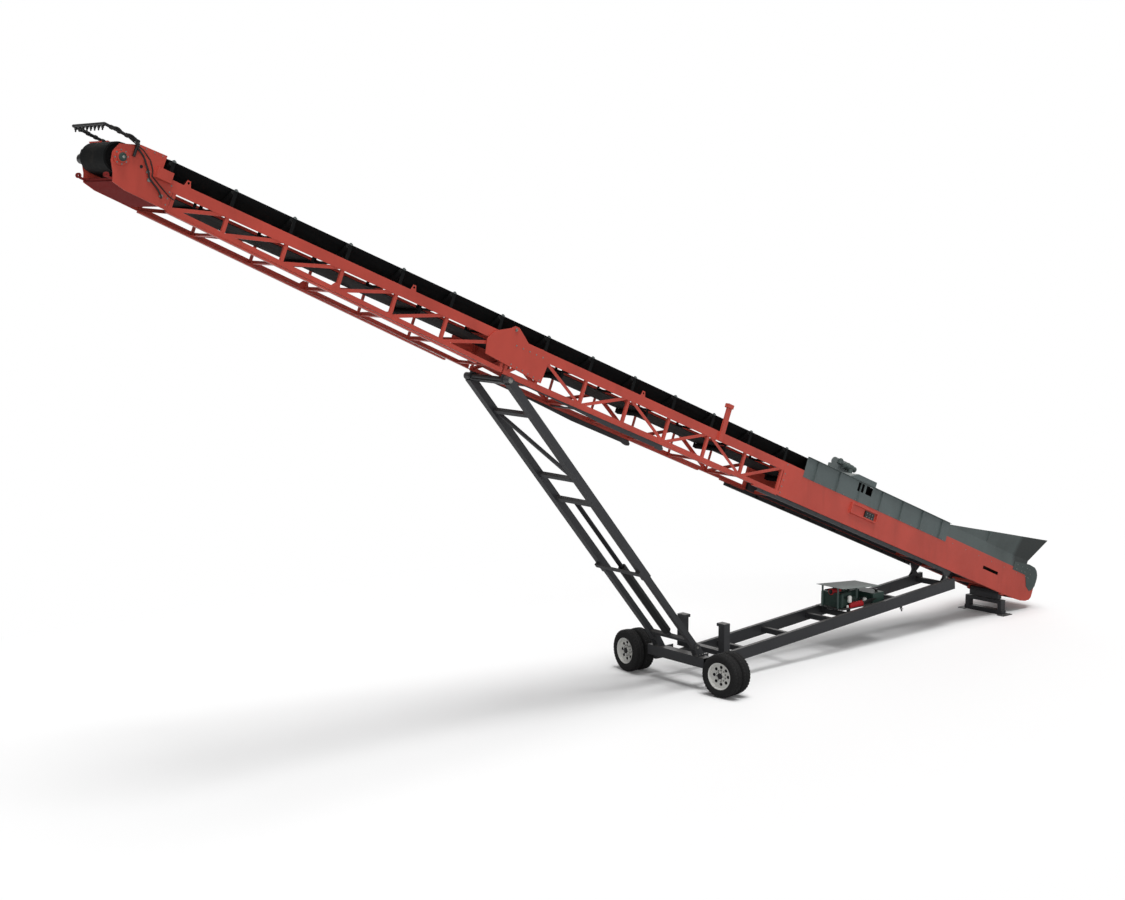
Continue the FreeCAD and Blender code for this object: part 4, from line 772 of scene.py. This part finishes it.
def boom_dressing():
    side_plates("leg_pivot_covers",
                [(16.15, -0.612), (16.15, -0.650), (15.2, -0.664), (14.5, -0.695), (13.9, -0.725),
                 (12.56, -0.725), (12.50, -0.742), (12.42, -0.748), (12.34, -0.730),
                 (12.32, -0.690), (12.36, -0.650), (12.40, -0.612)],
                0.4605, 0.4665, "main_conveyor", "darkgrey")

    belly = Shape("belly_channels", CONVEYOR)
    for side in SIDES:
        for inner, low, high in ((0.405, -0.700, -0.694), (0.462, -0.698, -0.621),
                                 (0.405, -0.627, -0.621)):
            belly.side_box(side, (BELLY_START, inner, low), (BELLY_END, 0.468, high), 0.002)
        for i in range(8):
            s = 3.3 + 0.87 * i
            belly.side_box(side, (s, 0.405, -0.695), (s + 0.012, 0.468, -0.626), 0.001)
    belly.done("main_conveyor", "darkgrey")

    side_plates("far_head_strip", [(23.95, 0.30), (23.95, 0.385), (24.24, 0.417), (24.52, 0.275),
                                   (24.46, 0.24), (24.24, 0.33)],
                0.4805, 0.4845, "head_section", "red", sides=(-1,))
    idler_caps("idler_caps_main", IDLERS_MAIN, "main_conveyor")
    idler_caps("idler_caps_head", IDLERS_HEAD, "head_section")

    recess = Shape("side_valve_box", CONVEYOR)
    for side in SIDES:
        recess.side_box(side, (5.90, HALF_W + SEAT, -0.322), (6.22, RECESS_FACE, -0.170), 0.006)
        for s in (6.36, 6.47, 6.58):
            recess.side_box(side, (s, HALF_W + SEAT, -0.318), (s + 0.055, 0.4835, -0.175), 0.001)
    recess.done("main_conveyor", "black")
    recess_caps = Shape("side_valve_caps", CONVEYOR)
    recess_caps.bolt_rows([
        (3, (5.97, RECESS_FACE, -0.285), (0.09, 0), 0.012),
        (3, (5.97, RECESS_FACE, -0.215), (0.09, 0), 0.012),
    ])
    recess_caps.done("main_conveyor", "steel")

    motor = Shape("skirt_motor_details", CONVEYOR)
    motor.lathe((6.20, -0.10, 0.66), AHEAD, [(0, 0.03), (0.01, 0.062), (0.10, 0.062),
                                             (0.11, 0.075), (0.27, 0.075), (0.28, 0.055),
                                             (0.36, 0.055), (0.37, 0.02)], 28)
    motor.lathe((6.60, -0.20, 0.665), UP, [(0, 0.045), (0.01, 0.055), (0.10, 0.055),
                                           (0.12, 0.035), (0.13, 0.012)], 24)
    motor.lathe((6.30, -0.22, 0.675), UP, [(0, 0.06), (0.03, 0.06), (0.04, 0.045),
                                           (0.085, 0.045), (0.10, 0.02)], 24)
    motor.lathe((6.46, 0.02, 0.50), UP, [(0, 0.06), (0.012, 0.06), (0.02, 0.045),
                                         (0.10, 0.045), (0.11, 0.02)], 24)
    motor.done("main_conveyor", "midgrey", COVER_GREY)

    web = Shape("leg_pivot_web", CONVEYOR)
    web.box((16.31, -0.4385, -0.742), (16.325, 0.4385, -0.614), 0.003)
    web.box((16.31, -0.4385, -0.752), (16.47, 0.4385, -0.742), 0.003)
    for y in (-0.30, -0.10, 0.10, 0.30):
        web.prism([(16.32, -0.745), (16.46, -0.745), (16.32, -0.625)], y - 0.004, y + 0.004)
    web.done("main_conveyor", "darkgrey")

    # Two bars on the main truss, because the rest posts come up between them.
    chord_shoe("main_chord_shoe_0", (8.98, -0.6105), (9.70, -0.6105), "main_conveyor")
    chord_shoe("main_chord_shoe_1", (10.40, -0.6105), (16.28, -0.6105), "main_conveyor")
    chord_shoe("head_chord_shoe", (17.12, -0.5995), (23.44, -0.3955), "head_section")


# ---------------------------------------------------------------- spray bar and head fittings
HOOP_S = 24.80               # cross bar of the hoop
HOOP_FOOT = 24.225
HOOP_Y = 0.504
# Hose along the hoop's arm, the same on both sides, and its way down the left plate.
ARM_RUN = [(24.76, 0.47, 0.395), (24.68, 0.535, 0.405), (24.60, 0.540, 0.425),
           (24.50, 0.545, 0.370), (24.42, 0.548, 0.405), (24.33, 0.548, 0.400),
           (24.27, 0.545, 0.335)]
PLATE_RUN = [(24.22, 0.535, 0.27), (24.08, 0.520, 0.20), (24.00, 0.513, 0.10),
             (23.93, 0.512, 0.03), (23.90, 0.510, -0.05), (23.80, 0.505, -0.11),
             (23.66, 0.500, -0.18), (23.60, 0.50, -0.26)]


def sprays():
    shape = Shape("spray_nozzles", CONVEYOR)
    for i in range(8):
        y = -0.44 + 0.88 * i / 7
        shape.cylinder((HOOP_S, y - 0.028, 0.392), (HOOP_S, y + 0.028, 0.392), 0.030, 18, 0.006)
        shape.lathe((24.795, y, 0.375), (-0.055, 0, -0.195),
                    [(0, 0.020), (0.03, 0.020), (0.034, 0.013), (0.060, 0.012), (0.064, 0.006)], 14)
    for side in SIDES:
        y = side * HOOP_Y
        for i in range(4):
            s = 24.30 + 0.13 * i
            n = 0.375 + 0.025 * (s - HOOP_FOOT) / 0.585
            shape.cylinder((s - 0.026, y, n), (s + 0.026, y, n), 0.033, 18, 0.006)
        shape.cylinder((HOOP_FOOT, y, 0.30), (HOOP_FOOT, y, 0.35), 0.034, 18, 0.006)
    shape.done("head_section", "black")

    far_run = [(s, -y, n) for s, y, n in ARM_RUN] + [(24.20, -0.53, 0.24)]
    hose("spray_hose_left", ARM_RUN + PLATE_RUN, 0.014, "head_section", CONVEYOR)
    hose("spray_hose_right", far_run, 0.014, "head_section", CONVEYOR)


def head_fittings():
    fittings = Shape("head_hose_fittings", CONVEYOR)
    for s, n in ((23.93, 0.022), (23.875, -0.085), (23.62, -0.23)):
        fittings.box((s - 0.028, HALF_W + SEAT, n - 0.026), (s + 0.028, 0.5045, n + 0.026), 0.006)
    fittings.done("head_section", "steel")

    port = Shape("head_plate_port", CONVEYOR)
    port.lathe((24.05, 0.4801, 0.055), LEFT, [(0, 0.026), (0.003, 0.026), (0.003, 0.020),
                                              (0.001, 0.020), (0.001, 0.003)], 24)
    port.done("head_section", "black")

    eyes = Shape("nose_eyes", CONVEYOR)
    for side in SIDES:
        for y in (0.430, 0.466):
            eyes.lathe((24.515, side * y, -0.262), (0, side, 0),
                       [(0, 0.014), (0, 0.040), (0.010, 0.040), (0.010, 0.014)],
                       28, ring_only=True)
        eyes.side_box(side, (24.22, 0.430, -0.300), (24.49, 0.476, -0.268), 0.006)
    # The eyes take the darker red: painted shade.
    eyes.done("head_section", "red", SHADED_RED)


# ---------------------------------------------------------------- stage, light, camera
FLOOR_REACH = 140.0
FLOOR_SEEN = (0.925, 0.925, 0.925, 1.0)      # to the camera
FLOOR_LIT = (0.38, 0.38, 0.38, 1.0)          # to the light that it throws back
FADE_MIDDLE = (12.0, -0.5)                   # the floor fades to white outside this ellipse
FADE_HALF = (26.0, 12.0)
WHITE = (1.0, 1.0, 1.0, 1.0)
WORLD_LIGHT = 0.22
# name, strength, angle across in degrees, direction of the light
SUNS = (("key", 1.60, 26.0, (-0.05, -0.24, -1.0)),
        ("second", 0.92, 30.0, (0.0, -0.02, -1.0)),
        ("front", 1.15, 60.0, (-0.45, -0.85, -0.10)),
        ("back", 0.7, 60.0, (0.55, 0.80, -0.10)))
# Solved from the photograph.
EYE = (33.89354, 24.78051, 9.19200)
GAZE = (-0.64131212, -0.75591084, -0.13159623)
LENS = 57.396


def floor_material():
    m = Nodes("floor_white")
    path = m.add("ShaderNodeLightPath").outputs
    m.colour(m.mix(path["Is Camera Ray"], FLOOR_LIT, FLOOR_SEEN))
    m.set(Roughness=0.9, Specular_IOR_Level=0.1)
    spot = m.split(m.coords)
    offsets = [m.math("DIVIDE", m.math("SUBTRACT", spot[axis], middle), half)
               for axis, middle, half in zip("XY", FADE_MIDDLE, FADE_HALF)]
    far = m.math("SQRT", m.math("ADD", *[m.math("MULTIPLY", a, a) for a in offsets]))
    fade = m.ramp(far, 0.62, 1.0)
    seen = m.math("MAXIMUM", path["Is Camera Ray"], path["Is Glossy Ray"])
    glow = m.add("ShaderNodeEmission")
    glow.inputs["Color"].default_value = WHITE
    blend = m.add("ShaderNodeMixShader")
    m.link(m.math("MULTIPLY", fade, seen), blend.inputs["Fac"])
    m.link(m.shader.outputs["BSDF"], blend.inputs[1])
    m.link(glow.outputs["Emission"], blend.inputs[2])
    m.link(blend.outputs["Shader"], m.tree.nodes["Material Output"].inputs["Surface"])
    return m.material


def build_floor():
    mesh = bpy.data.meshes.new("floor")
    corners = [(x * FLOOR_REACH, y * FLOOR_REACH, -0.001)
               for x, y in ((-1, -1), (1, -1), (1, 1), (-1, 1))]
    mesh.from_pydata(corners, [], [(0, 1, 2, 3)])
    floor = bpy.data.objects.new("floor", mesh)
    bpy.context.scene.collection.objects.link(floor)
    mesh.materials.append(floor_material())


def build_light():
    """Dim world that looks white to the camera, and four soft suns."""
    world = bpy.data.worlds.new("studio")
    bpy.context.scene.world = world
    world.use_nodes = True
    nodes, link = world.node_tree.nodes, world.node_tree.links.new
    light = nodes["Background"]
    white = nodes.new("ShaderNodeBackground")
    for background, strength in ((light, WORLD_LIGHT), (white, 1.0)):
        background.inputs["Color"].default_value = WHITE
        background.inputs["Strength"].default_value = strength
    path = nodes.new("ShaderNodeLightPath")
    either = nodes.new("ShaderNodeMath")
    either.operation = "MAXIMUM"
    link(path.outputs["Is Camera Ray"], either.inputs[0])
    link(path.outputs["Is Transmission Ray"], either.inputs[1])
    both = nodes.new("ShaderNodeMixShader")
    link(either.outputs["Value"], both.inputs["Fac"])
    link(light.outputs["Background"], both.inputs[1])
    link(white.outputs["Background"], both.inputs[2])
    link(both.outputs["Shader"], nodes["World Output"].inputs["Surface"])

    for name, strength, angle, way in SUNS:
        sun = bpy.data.lights.new(name, "SUN")
        sun.energy = strength
        sun.angle = math.radians(angle)
        lamp = bpy.data.objects.new(name, sun)
        bpy.context.scene.collection.objects.link(lamp)
        lamp.rotation_euler = Vector(way).to_track_quat("-Z", "Y").to_euler()


def build_camera():
    camera = bpy.data.cameras.new("camera")
    camera.sensor_fit = "HORIZONTAL"
    camera.sensor_width = 36.0
    camera.lens = LENS
    camera.clip_end = 400.0
    eye = bpy.data.objects.new("camera", camera)
    bpy.context.scene.collection.objects.link(eye)
    forward = Vector(GAZE).normalized()
    right = forward.cross(Vector(UP)).normalized()
    up = right.cross(forward)
    turn = Matrix((right, up, -forward)).transposed().to_4x4()
    eye.matrix_world = Matrix.Translation(EYE) @ turn
    bpy.context.scene.camera = eye
    bpy.context.scene.view_settings.view_transform = "Standard"


paint_nodes()
for wheel_side in SIDES:
    wheel(wheel_side)
belt_bridge()
bolts()
head_bearing()
engine()
hydraulics()
boom_dressing()
sprays()
head_fittings()
build_floor()
build_light()
build_camera()
